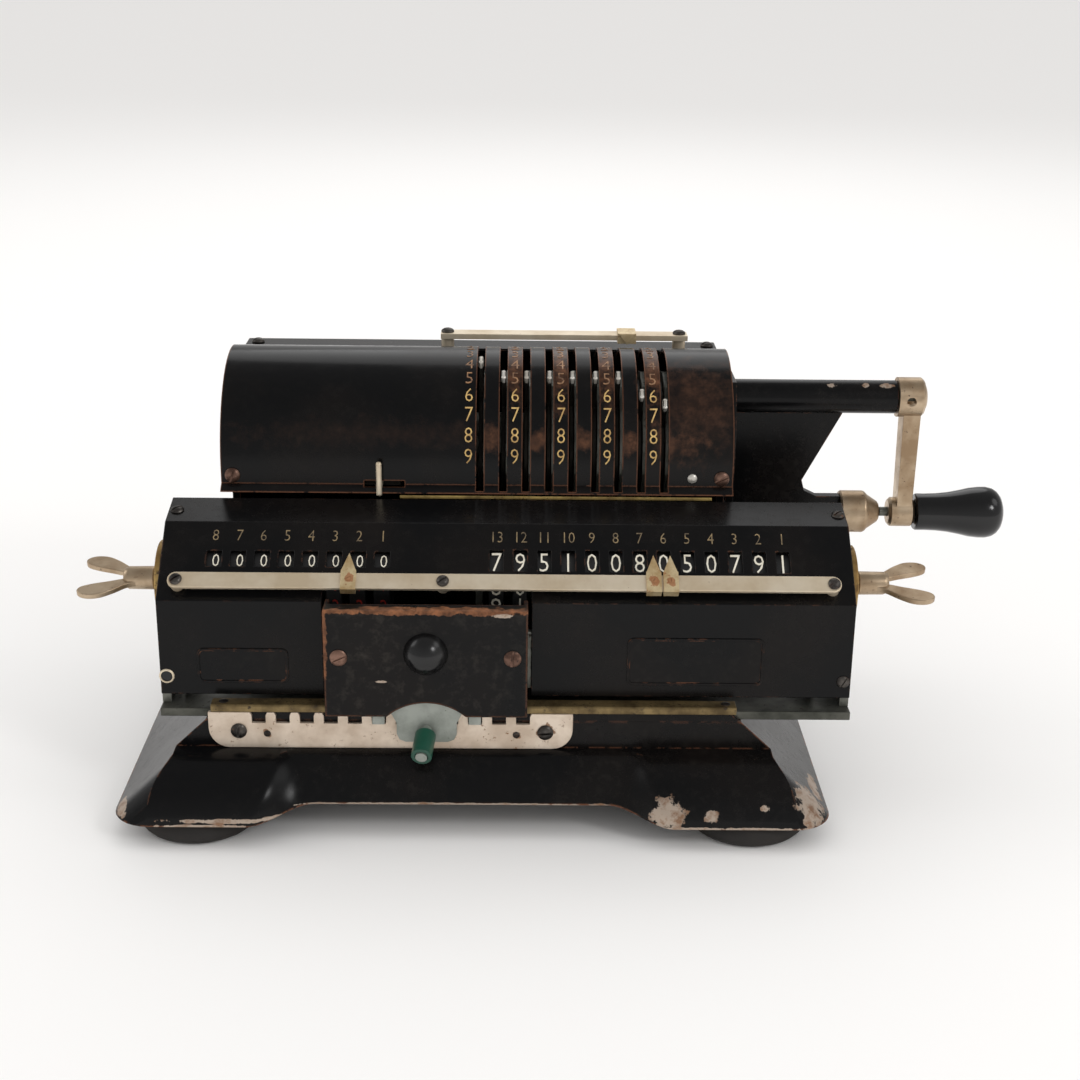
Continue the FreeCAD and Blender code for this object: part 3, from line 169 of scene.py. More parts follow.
class CalculatorSizes(bpy.types.PropertyGroup):
    cover_radius: bpy.props.FloatProperty(name="Cover radius",
                                          description="Outer radius of the drum cover, in mm",
                                          default=35.0, min=30.0, max=40.0)
    cover_sheet: bpy.props.FloatProperty(name="Cover sheet",
                                         description="Sheet thickness of the drum cover, in mm",
                                         default=1.3, min=0.8, max=2.0)
    slot_width: bpy.props.FloatProperty(name="Slot width", description="Width of a setting slot, in mm",
                                        default=2.7,
                                        min=2.0, max=4.0)
    slot_reach: bpy.props.FloatProperty(name="Slot reach",
                                        description="Radius out to which a slot is cut, in mm",
                                        default=37.9, min=37.0, max=38.2)
    cover_figure: bpy.props.FloatProperty(name="Cover figures",
                                          description="Height of the figures on the drum cover, in mm",
                                          default=5.2, min=3.0, max=7.0)
    label_figure: bpy.props.FloatProperty(name="Place figures",
                                          description="Height of the figures over the windows, in mm",
                                          default=4.1, min=2.0, max=6.0)
    wheel_radius: bpy.props.FloatProperty(name="Figure wheel", description="Radius of a figure wheel, in mm",
                                          default=12.5, min=10.0, max=14.0)
    screw_radius: bpy.props.FloatProperty(name="Screw head",
                                          description="Radius of a common screw head, in mm",
                                          default=2.3, min=1.0, max=4.0)


class CalculatorFinish(bpy.types.PropertyGroup):
    lacquer: bpy.props.FloatVectorProperty(name="Lacquer", description="Colour of the black stoving lacquer",
                                           subtype="COLOR", default=linear("#0A0A0B"), min=0.0, max=1.0)
    bare: bpy.props.FloatVectorProperty(name="Bare metal",
                                        description="Colour of metal where the lacquer is gone",
                                        subtype="COLOR", default=linear("#B5A596"), min=0.0, max=1.0)
    copper: bpy.props.FloatVectorProperty(name="Browned edge",
                                          description="Colour of rubbed edges of the lacquer",
                                          subtype="COLOR", default=linear("#7E5540"), min=0.0, max=1.0)
    paint: bpy.props.FloatVectorProperty(name="Figure paint",
                                         description="Colour of the paint in the cover's figures",
                                         subtype="COLOR", default=linear("#D0AE6C"), min=0.0, max=1.0)
    wear: bpy.props.FloatProperty(name="Wear", description="How much of the edges is rubbed bare",
                                  subtype="FACTOR",
                                  default=0.5, min=0.0, max=1.0)


# Materials
def add(tree, kind, inputs=None, out=0, **settings):
    node = tree.nodes.new("ShaderNode" + kind)
    for key, value in settings.items():
        setattr(node, key, value)
    for key, value in (inputs or {}).items():
        if isinstance(value, bpy.types.NodeSocket):
            tree.links.new(value, node.inputs[key])
        else:
            node.inputs[key].default_value = value
    return node if out is None else node.outputs[out]


def new_material(name):
    material = bpy.data.materials.new(name)
    material.use_nodes = True
    tree = material.node_tree
    tree.nodes.clear()
    shader = add(tree, "BsdfPrincipled", out=None)
    add(tree, "OutputMaterial", {"Surface": shader.outputs[0]}, None)
    return material, tree, shader, add(tree, "TexCoord", out="Object")


def grain(tree, place, size, detail=3.0, rough=0.55, stretch=(1.0, 1.0, 1.0)):
    # Noise whose blotches are about as wide as the given size in mm
    scaled = add(tree, "Mapping", {"Vector": place, "Scale": stretch})
    return add(tree, "TexNoise",
               {"Vector": scaled, "Scale": 0.5 / (size * MM), "Detail": detail, "Roughness": rough})


def edge_mask(tree, width):
    # Bright on outer edges up to the given width in mm
    rounded = add(tree, "Bevel", {"Radius": width * MM}, samples=6)
    flat = add(tree, "NewGeometry", out="Normal")
    facing = add(tree, "VectorMath", {0: rounded, 1: flat}, "Value", operation="DOT_PRODUCT")
    return add(tree, "MapRange", {0: facing, 1: 0.995, 2: 0.86})


def patch(tree, place, ragged, centre, reach, soft=0.15):
    # Torn patch round a place, reaching the given distances in mm
    scale = [1.0 / (r * MM) for r in reach]
    shift = [-c * MM * s for c, s in zip(centre, scale)]
    near = add(tree, "Mapping", {"Vector": place, "Location": shift, "Scale": scale})
    far = add(tree, "VectorMath", {0: near}, "Value", operation="LENGTH")
    tear = add(tree, "MapRange", {0: ragged, 1: 0.3, 2: 0.7, 3: -0.55, 4: 0.55})
    return add(tree, "MapRange", {0: add(tree, "Math", {0: far, 1: tear}), 1: 0.95, 2: 0.95 - soft})


def rgba(colour):
    return (*tuple(linear(colour) if isinstance(colour, str) else colour)[:3], 1.0)


def lacquer(name, spots=(), edge=0.9, rub=0.5, gloss=0.16, dust=0.1, brown_and_reflections=()):
    finish = bpy.context.scene.calculator_finish
    material, tree, shader, place = new_material(name)
    slow = grain(tree, place, 22.0)
    fine = grain(tree, place, 1.6, 4.0, 0.65)
    flecks = grain(tree, place, 0.45, 2.0)
    ragged = grain(tree, place, 2.6, 5.0, 0.7)
    # Rubbed edges, more of them as the wear rises
    wear = rub * finish.wear * 2
    worn = add(tree, "MapRange", {0: ragged, 1: 0.62 - 0.25 * wear, 2: 0.66 - 0.2 * wear})
    rubbed = add(tree, "Math", {0: edge_mask(tree, edge), 1: worn}, operation="MULTIPLY")
    warmth = add(tree, "MapRange", {0: slow, 1: 0.45, 2: 0.75})
    tint = add(tree, "Mix", {0: warmth, 6: rgba(finish.lacquer), 7: rgba("#161210")}, 2, data_type="RGBA")
    # A thin film of dust and wiped grease
    drift = add(tree, "MapRange", {0: slow, 1: 0.35, 2: 0.65, 3: 0.2 * dust, 4: dust})
    film = add(tree, "MapRange", {0: fine, 1: 0.5, 2: 0.8, 4: drift})
    tint = add(tree, "Mix", {0: film, 6: tint, 7: rgba("#4A453F")}, 2, data_type="RGBA")
    # Brown and copper patches: browned lacquer, and on the drum cover also painted reflection bands
    for centre, reach, strength in brown_and_reflections:
        torn = patch(tree, place, ragged, centre, reach, 0.15 if strength == 1.0 else 0.8)
        rust_and_painted_light = add(tree, "MapRange", {0: fine, 1: 0.35, 2: 0.65, 3: 0.45 * strength, 4: strength})
        warm = add(tree, "Math", {0: torn, 1: rust_and_painted_light}, operation="MULTIPLY")
        copper = add(tree, "Mix", {0: rust_and_painted_light, 6: rgba("#4E372C"), 7: rgba("#8C5C3E")}, 2, data_type="RGBA")
        tint = add(tree, "Mix", {0: warm, 6: tint, 7: copper}, 2, data_type="RGBA")
    tint = add(tree, "Mix", {0: rubbed, 6: tint, 7: rgba(finish.copper)}, 2, data_type="RGBA")
    metal = rubbed
    for centre, reach in spots:
        chip = patch(tree, place, ragged, centre, reach)
        pitted = add(tree, "MapRange", {0: ragged, 1: 0.36, 2: 0.5})
        silver = add(tree, "Mix", {0: pitted, 6: rgba("#8C6E58"), 7: rgba(finish.bare)}, 2, data_type="RGBA")
        tint = add(tree, "Mix", {0: chip, 6: tint, 7: silver}, 2, data_type="RGBA")
        metal = add(tree, "Math", {0: metal, 1: chip}, operation="MAXIMUM")
    cloud = add(tree, "MapRange", {0: slow, 1: 0.35, 2: 0.7, 3: gloss, 4: gloss + 0.1})
    rough = add(tree, "Math", {0: metal, 1: 0.2, 2: cloud}, operation="MULTIPLY_ADD")
    smudge = add(tree, "MapRange", {0: fine, 1: 0.5, 2: 0.8, 4: 0.08})
    rough = add(tree, "Math", {0: rough, 1: smudge})
    skin = add(tree, "MapRange", {0: flecks, 1: 0.2, 2: 0.8, 4: 0.12})
    height = add(tree, "Math", {0: skin, 1: metal}, operation="SUBTRACT")
    bump = add(tree, "Bump", {"Height": height, "Distance": 0.05 * MM, "Strength": 0.5})
    tree.links.new(tint, shader.inputs["Base Color"])
    tree.links.new(add(tree, "Math", {0: metal, 1: 0.7}, operation="MULTIPLY"), shader.inputs["Metallic"])
    tree.links.new(rough, shader.inputs["Roughness"])
    tree.links.new(bump, shader.inputs["Normal"])
    shader.inputs["Specular IOR Level"].default_value = 0.17
    return material


def plated(name, light, dark, spot, rough=0.32, spots=0.58, blotch=6.0, shine=1.0, stains=()):
    material, tree, shader, place = new_material(name)
    clouds = grain(tree, place, blotch, 4.0, 0.6)
    freckles = grain(tree, place, 0.7, 3.0, 0.6)
    patches = grain(tree, place, 2.4, 4.0, 0.6)
    dulled = add(tree, "MapRange", {0: clouds, 1: 0.38, 2: 0.64})
    tint = add(tree, "Mix", {0: dulled, 6: rgba(light), 7: rgba(dark)}, 2, data_type="RGBA")
    # Freckles of rust in patches, and a darker line along the edges, partly tarnish and partly painted shade
    speck = add(tree, "MapRange", {0: freckles, 1: spots, 2: spots + 0.07})
    where = add(tree, "MapRange", {0: patches, 1: 0.46, 2: 0.6})
    rust_and_painted_light = add(tree, "Math", {0: speck, 1: where}, operation="MULTIPLY")
    rim = add(tree, "MapRange", {0: patches, 1: 0.5, 2: 0.62, 4: 0.7})
    rim = add(tree, "Math", {0: edge_mask(tree, 0.4), 1: rim}, operation="MULTIPLY")
    rust_and_painted_light = add(tree, "Math", {0: rust_and_painted_light, 1: rim}, operation="MAXIMUM")
    for centre, reach in stains:
        halo = add(tree, "Math", {0: patch(tree, place, patches, centre, reach), 1: 0.85},
                   operation="MULTIPLY")
        rust_and_painted_light = add(tree, "Math", {0: rust_and_painted_light, 1: halo}, operation="MAXIMUM")
    tint = add(tree, "Mix", {0: rust_and_painted_light, 6: tint, 7: rgba(spot)}, 2, data_type="RGBA")
    sheen = add(tree, "MapRange", {0: clouds, 1: 0.3, 2: 0.7, 3: rough, 4: rough + 0.15})
    tree.links.new(tint, shader.inputs["Base Color"])
    tree.links.new(add(tree, "MapRange", {0: rust_and_painted_light, 3: shine, 4: 0.3 * shine}), shader.inputs["Metallic"])
    tree.links.new(add(tree, "Math", {0: rust_and_painted_light, 1: 0.3, 2: sheen}, operation="MULTIPLY_ADD"),
                   shader.inputs["Roughness"])
    bump = add(tree, "Bump", {"Height": freckles, "Distance": 0.03 * MM, "Strength": 0.4})
    tree.links.new(bump, shader.inputs["Normal"])
    return material


def plain(name, colour, rough, mottle=0.0, second=None, size=2.0):
    material, tree, shader, place = new_material(name)
    cloud = grain(tree, place, size, 3.0)
    share = add(tree, "MapRange", {0: cloud, 1: 0.4, 2: 0.65, 4: mottle})
    tint = add(tree, "Mix", {0: share, 6: rgba(colour), 7: rgba(second or colour)}, 2, data_type="RGBA")
    tree.links.new(tint, shader.inputs["Base Color"])
    sheen = add(tree, "MapRange", {0: cloud, 1: 0.3, 2: 0.7, 3: rough, 4: rough + 0.1})
    tree.links.new(sheen, shader.inputs["Roughness"])
    return material


MATERIALS = {}


def finish_of(name):
    if name not in MATERIALS:
        MATERIALS[name] = RECIPES[name](name)
    return MATERIALS[name]


def base_spots():
    # Chips at the right foot and along the rim, in the places that the photograph shows
    low, high, front = BASE_LOW.x, BASE_HIGH.x, BASE_LOW.y
    return ([((high - 7.0, front + 7.0, 15.0), (6.5, 9.0, 9.0)), ((33.0, front + 1.0, 13.0), (6.0, 5.0, 5.5)),
             ((48.0, front, 12.5), (2.2, 4.0, 2.2)), ((high - 3.0, front + 24.0, 12.0), (3.0, 10.0, 3.0)),
             ((66.0, front, 15.0), (1.8, 4.0, 1.4)), ((low + 3.0, front + 10.0, 10.0), (3.0, 7.0, 2.0)),
             ((-40.0, front + 8.0, 12.5), (60.0, 4.0, 0.45)),
             ((low + 40.0, front + 3.0, 10.0), (22.0, 8.0, 0.9))]
            + [((x, front + 0.5, 8.2), (18.0, 4.0, 0.7)) for x in (low + 30, high - 24, high - 48)])


RECIPES = {
    # Pressed steel pan under thick black lacquer, chipped to bare metal along its rim
    "base_lacquer": lambda name: lacquer(name, base_spots(), 1.0, 0.6, 0.2, 0.12),
    # Bent sheet of the carriage, the cleanest of the lacquered pieces, only thinly rubbed at its edges
    "carriage_lacquer": lambda name: lacquer(name, (), 0.7, 0.35, 0.2, 0.06),
    # Stamped panel, the same lacquer with more dust
    "panel_lacquer": lambda name: lacquer(name, (), 0.45, 0.4, 0.24, 0.14),
    # Housing, deep black and glossy
    "housing_lacquer": lambda name: lacquer(name, (), 0.7, 0.45, 0.16, 0.07),
    # Bracket, the same black, its tube scuffed to metal near the crank
    "bracket_lacquer": lambda name: lacquer(
        name, [((HANDLE_LOW.x - x, CRANK.y - 4.6, CRANK.z + 5.2), (long, 2.5, 1.0))
               for x, long in ((34.0, 2.6), (21.8, 1.4), (14.6, 2.6))], 0.7, 0.5, 0.2, 0.14),
    # Drum cover, polished by fingers, browned on the lands beside the figures and copper along each slot;
    # these brown and copper patches, set at fixed heights round the drum, are partly browned lacquer and
    # partly painted reflection bands
    "drum_lacquer": lambda name: lacquer(
        name, (), 0.8, 0.95, 0.15, 0.06,
        [((FIRST_SLOT_X + PITCH * k - PITCH / 2, ROTOR.y - 12, ROTOR.z + 33), (4.6, 30.0, 18.0), 0.6)
         for k in (2, 4, 6, 8)]
        + [((FIRST_SLOT_X + PITCH * k - PITCH / 2, ROTOR.y - 33, ROTOR.z + 11), (5.0, 8.0, 5.0), 0.55)
           for k in (1, 3, 5, 7)]
        # Broad brown patches on the right and a long band across the left, also partly painted reflection
        + [((DRUM_HIGH.x - 12.0, ROTOR.y - 26, ROTOR.z + 24), (22.0, 26.0, 22.0), 0.3),
           ((DRUM_HIGH.x - 20.0, ROTOR.y - 33, ROTOR.z + 10), (14.0, 8.0, 5.0), 0.4),
           ((DRUM_LOW.x + 60.0, ROTOR.y - 33, ROTOR.z + 13), (70.0, 12.0, 6.0), 0.12)]),
    # Shield, dusty and the most worn: browned along its top and left edges and scratched to copper
    "shield_lacquer": lambda name: lacquer(
        name, [((SHIELD_LOW.x + 18.8, SHIELD_LOW.y, 52.5), (2.2, 1.5, 0.5)),
               ((SHIELD_HIGH.x - 8.0, SHIELD_LOW.y, 76.0), (3.5, 1.5, 0.8))], 1.2, 0.85, 0.24, 0.4,
        [((SHIELD_LOW.x + 33.0, SHIELD_LOW.y, SHIELD_HIGH.z), (45.0, 4.0, 1.5), 1.0),
         ((SHIELD_LOW.x, SHIELD_LOW.y, 70.0), (1.4, 4.0, 18.0), 1.0)]),
    # Nickel gone tan and dull where hands have worn it
    "worn_nickel": lambda name: plated(name, "#C4B096", "#9C8469", "#4E3A2C", 0.3, 0.62, 8.0, 0.95),
    # Cream nickel of the rails, nearly clean
    "rail_nickel": lambda name: plated(name, "#E8DAC2", "#D0BEA2", "#7A5C42", 0.36, 0.7, 9.0, 0.7),
    # Cream-pink nickel of the rack, rust-freckled, with a rust halo at one screw
    "cream_nickel": lambda name: plated(
        name, "#E6D6C4", "#CDBAA6", "#8A6446", 0.4, 0.62, 6.0, 0.6,
        [((RACK_HIGH.x - 9.2, RACK_LOW.y, 32.4), (3.4, 3.0, 3.2)),
         ((RACK_HIGH.x - 18.9, RACK_LOW.y, 31.4), (1.6, 3.0, 1.6)),
         ((RACK_LOW.x + 19.5, RACK_LOW.y, 31.4), (1.5, 3.0, 1.5))]),
    # Machined steel of the bed, the rotor and the carriage's insides, grey with oil
    "bare_steel": lambda name: plated(name, "#84857E", "#5C5D55", "#3A2F26", 0.36, shine=0.8),
    # Brass rail, dull brown where dust has settled and gold where the bed rubs it
    "rail_brass": lambda name: plated(name, "#8E7A54", "#5B4C33", "#3A2E1E", 0.36, 0.56, 4.0, 0.75),
    # Gold-brown strip under the lip, duller than the rail
    "strip_brass": lambda name: plated(name, "#B39A5C", "#77643C", "#43331F", 0.42, 0.56, 4.0, 0.6),
    # Brass of the end discs, still golden but speckled
    "disc_brass": lambda name: plated(name, "#C4A468", "#86693E", "#4A3524", 0.36, 0.5, 5.0, 0.8),
    # Dark steel screws, browned in their slots
    "dark_screw": lambda name: plated(name, "#5A5652", "#33302E", "#5A3E2C", 0.3, 0.58, 2.0, 0.9),
    # Screws of the shield and the drum cover, rubbed to a copper brown
    "bronze_screw": lambda name: plated(name, "#86685A", "#553F36", "#33231B", 0.32, 0.56, 1.6, 0.85),
    # Moulded knob and handle, smooth and shiny
    "black_grip": lambda name: plain(name, "#070708", 0.12, 0.3, "#100F10", 12.0),
    "black_knob": lambda name: plain(name, "#0B0B0C", 0.17, 0.4, "#171514", 6.0),
    # Old rubber, brown-black and dull
    "foot_rubber": lambda name: plain(name, "#1B1714", 0.6, 0.5, "#2B2520", 4.0),
    # Matt black figure wheels
    "wheel_black": lambda name: plain(name, "#151516", 0.5, 0.4, "#201F20", 2.0),
    # White, red and gold paint of the figures, the gold worn away on the place figures
    "figure_white": lambda name: plain(name, "#F1ECDC", 0.5, 0.5, "#D8CDB4", 1.5),
    "figure_red": lambda name: plain(name, "#B0352A", 0.5, 0.5, "#8E241D", 1.5),
    "figure_gold": lambda name: plain(name, bpy.context.scene.calculator_finish.paint, 0.45, 0.8,
                                      "#94703F", 1.2),
    "figure_brown": lambda name: plain(name, "#9A7350", 0.45, 0.9, "#4C3426", 1.0),
    "figure_dull": lambda name: plain(name, "#8A7654", 0.5, 0.9, "#4A3F31", 1.0),
    # Green sleeve of moulded plastic over the latch's pin
    "sleeve_green": lambda name: plain(name, "#1C4C3C", 0.3, 0.5, "#15392D", 4.0),
    # Latch plate, steel under a grey-green film
    "latch_steel": lambda name: plated(name, "#A2A69F", "#858A82", "#565A50", 0.4, 0.66, shine=0.5),
    # Bed of the carriage, green-black
    "bed_steel": lambda name: plated(name, "#5E5E57", "#3F403A", "#2A2720", 0.36, 0.6, shine=0.75),
    # Setting rings, dark and oily, and the bare tips that fingers push
    "ring_steel": lambda name: plated(name, "#37342F", "#22201D", "#1C1612", 0.4, shine=0.8),
    "tip_nickel": lambda name: plated(name, "#E2DFD8", "#B9B3A8", "#6A5A4C", 0.3, 0.66, shine=0.7),
    # Folded pointers of the rails, yellowed nickel with rust round their screws
    "pointer_nickel": lambda name: plated(
        name, "#E2CFA6", "#B89C70", "#8E562E", 0.36, 0.58, 3.0, 0.7,
        [(on_slope(x, RAIL_UP + 0.4, 5.4), (1.9, 2.5, 2.4)) for x in POINTERS_X]),
}


# Making pieces by hand
def deselect():
    if bpy.context.object and bpy.context.object.mode != "OBJECT":
        bpy.ops.object.mode_set(mode="OBJECT")
    bpy.ops.object.select_all(action="DESELECT")


def pick(obj):
    deselect()
    obj.select_set(True)
    bpy.context.view_layer.objects.active = obj
    return obj


def finish_piece(obj, name, body, finish, nodes=(), angle=35.0):
    pick(obj)
    bpy.ops.object.transform_apply(location=True, rotation=True, scale=True)
    obj.name = name
    obj.data.name = name
    obj.data.materials.clear()
    obj.data.materials.append(finish_of(finish))
    bpy.ops.object.shade_smooth_by_angle(angle=radians(angle))
    # Broad faces stay flat in the light beside their rounded edges
    flatten = obj.modifiers.new("flatten", "WEIGHTED_NORMAL")
    flatten.keep_sharp = True
    bpy.ops.object.modifier_apply(modifier=flatten.name)
    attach(obj, body)
    if nodes:
        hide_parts(*nodes)
    return obj


def paint_node(node, finish):
    mesh = frame["nodes"][node].data
    mesh.materials.clear()
    mesh.materials.append(finish_of(finish))


def join(objs):
    deselect()
    for obj in objs:
        obj.select_set(True)
    bpy.context.view_layer.objects.active = objs[0]
    if len(objs) > 1:
        bpy.ops.object.join()
    return bpy.context.object


def pick_faces(obj, wanted):
    # Leaves the piece in edit mode with the wanted faces selected
    pick(obj)
    bpy.ops.object.mode_set(mode="EDIT")
    bpy.ops.mesh.select_mode(type="FACE")
    bpy.ops.mesh.select_all(action="DESELECT")
    bpy.ops.object.mode_set(mode="OBJECT")
    for face in obj.data.polygons:
        face.select = wanted(face)
    bpy.ops.object.mode_set(mode="EDIT")


def bevel(obj, width, segments=2, angle=30.0):
    pick(obj)
    rounding = obj.modifiers.new("rounding", "BEVEL")
    rounding.width = width * MM
    rounding.segments = segments
    rounding.limit_method = "ANGLE"
    rounding.angle_limit = radians(angle)
    bpy.ops.object.modifier_apply(modifier=rounding.name)
    return obj


def round_corners(plate, axis, radius, segments):
    # Rounds the corners of a block, along the edges that run the given way
    pick(plate)
    ends = [[plate.data.vertices[v].co[axis] for v in edge.vertices] for edge in plate.data.edges]
    bpy.ops.object.mode_set(mode="EDIT")
    bpy.ops.mesh.select_mode(type="EDGE")
    bpy.ops.mesh.select_all(action="DESELECT")
    bpy.ops.object.mode_set(mode="OBJECT")
    for edge, (start, end) in zip(plate.data.edges, ends):
        edge.select = abs(start - end) > 0.01 * MM
    bpy.ops.object.mode_set(mode="EDIT")
    bpy.ops.mesh.bevel(offset=radius * MM, segments=segments)
    bpy.ops.object.mode_set(mode="OBJECT")
    return plate


def cut(obj, cutter, operation="DIFFERENCE"):
    pick(obj)
    hole = obj.modifiers.new("hole", "BOOLEAN")
    hole.object = cutter
    hole.operation = operation
    hole.solver = "EXACT"
    bpy.ops.object.modifier_apply(modifier=hole.name)
    bpy.data.objects.remove(cutter)
    return obj


def node_copy(node, weld=0.005):
    # A copy of a node's solid, its loose triangles merged into whole faces
    obj = bpy.data.objects.new(node + "_copy", frame["nodes"][node].data.copy())
    bpy.context.scene.collection.objects.link(obj)
    pick(obj)
    bpy.ops.object.mode_set(mode="EDIT")
    bpy.ops.mesh.select_all(action="SELECT")
    bpy.ops.mesh.remove_doubles(threshold=weld * MM)
    bpy.ops.mesh.dissolve_limited(angle_limit=radians(1.0))
    bpy.ops.object.mode_set(mode="OBJECT")
    return obj


def refined(node, body, finish, width, segments=2, angle=30.0, smooth=35.0):
    obj = bevel(node_copy(node), width, segments, angle)
    return finish_piece(obj, node + "_shown", body, finish, (node,), smooth)


def block(low, high):
    low, high = Vector(low) * MM, Vector(high) * MM
    deselect()
    bpy.ops.mesh.primitive_cube_add(size=1.0, location=(low + high) / 2)
    obj = bpy.context.object
    obj.scale = high - low
    bpy.ops.object.transform_apply(location=True, rotation=True, scale=True)
    return obj


def turned_form(rings, place, way, sides=48):
    # A disc is drawn out along its axis and scaled at each ring, given as (distance along, radius)
    deselect()
    way = Vector(way).normalized()
    centre = Vector(place) * MM
    lean = Vector((0, 0, 1)).rotation_difference(way).to_euler()
    bpy.ops.mesh.primitive_circle_add(vertices=sides, radius=rings[0][1] * MM, fill_type="NGON",
                                      location=centre + way * rings[0][0] * MM, rotation=lean)
    obj = bpy.context.object
    bpy.ops.object.transform_apply(location=True, rotation=True, scale=True)
    bpy.ops.object.mode_set(mode="EDIT")
    bpy.ops.mesh.select_all(action="SELECT")
    for (from_along, from_r), (to_along, to_r) in zip(rings, rings[1:]):
        bpy.ops.mesh.extrude_region_move(TRANSFORM_OT_translate={"value": way * (to_along - from_along) * MM})
        ratio = to_r / from_r
        bpy.ops.transform.resize(value=(ratio, ratio, ratio), center_override=centre + way * to_along * MM)
    bpy.ops.mesh.select_all(action="SELECT")
    bpy.ops.mesh.normals_make_consistent(inside=False)
    bpy.ops.object.mode_set(mode="OBJECT")
    return obj


def copy_at(model, place):
    # A copy, with a mesh of its own, of a shape that is modelled at the origin
    mesh = model.data.copy()
    mesh.transform(Matrix.Translation(Vector(place) * MM))
    piece = bpy.data.objects.new("copy", mesh)
    bpy.context.scene.collection.objects.link(piece)
    return piece


def copies(model, places):
    # The model is set down at each place, then taken away
    pieces = [copy_at(model, place) for place in places]
    bpy.data.objects.remove(model)
    return pieces


def slotted_heads(places, way, radius, height, slot_turn=0.0):
    # Domed heads with a screwdriver slot, the dome given in shares of height and radius
    dome = ((0.0, 0.97), (0.25, 1.0), (0.55, 0.9), (0.8, 0.66), (0.95, 0.35), (1.0, 0.04))
    way = Vector(way).normalized()
    head = turned_form([(height * up, radius * out) for up, out in dome], ORIGIN, way, 28)
    groove = block((-radius * 1.2, -radius * 0.14, height * 0.45),
                   (radius * 1.2, radius * 0.14, height * 1.6))
    lean = Vector((0, 0, 1)).rotation_difference(way).to_matrix().to_4x4()
    groove.matrix_world = lean @ Matrix.Rotation(radians(slot_turn), 4, "Z")
    return copies(cut(head, groove), places)


GLYPHS = {}


def glyph(text):
    # Outline of a figure, one unit high, a little deep, its middle at the origin
    if text not in GLYPHS:
        deselect()
        bpy.ops.object.text_add()
        obj = bpy.context.object
        obj.data.body = text
        obj.data.align_x = "CENTER"
        obj.data.extrude = 0.03
        obj.data.offset = -0.012
        obj.data.resolution_u = 2
        bpy.ops.object.convert(target="MESH")
        obj = bpy.context.object
        tall = max(v.co.y for v in obj.data.vertices) - min(v.co.y for v in obj.data.vertices)
        middle = (max(v.co.y for v in obj.data.vertices) + min(v.co.y for v in obj.data.vertices)) / 2
        obj.data.transform(Matrix.Scale(1 / tall, 4) @ Matrix.Translation((0, -middle, 0)))
        GLYPHS[text] = obj.data.copy()
        bpy.data.objects.remove(obj)
    return GLYPHS[text]


def figure(text, height, place, up, out, depth=0.12, wide=0.85):
    # A figure that stands proud of its surface by half the depth
    across = Vector(up).cross(Vector(out)).normalized()
    mesh = glyph(text).copy()
    turn = Matrix((across, Vector(up).normalized(), Vector(out).normalized())).transposed().to_4x4()
    scale = Matrix.Diagonal((height * wide * MM, height * MM, depth / 0.06 * MM, 1.0))
    mesh.transform(Matrix.Translation(Vector(place) * MM) @ turn @ scale)
    obj = bpy.data.objects.new("figure", mesh)
    bpy.context.scene.collection.objects.link(obj)
    return obj


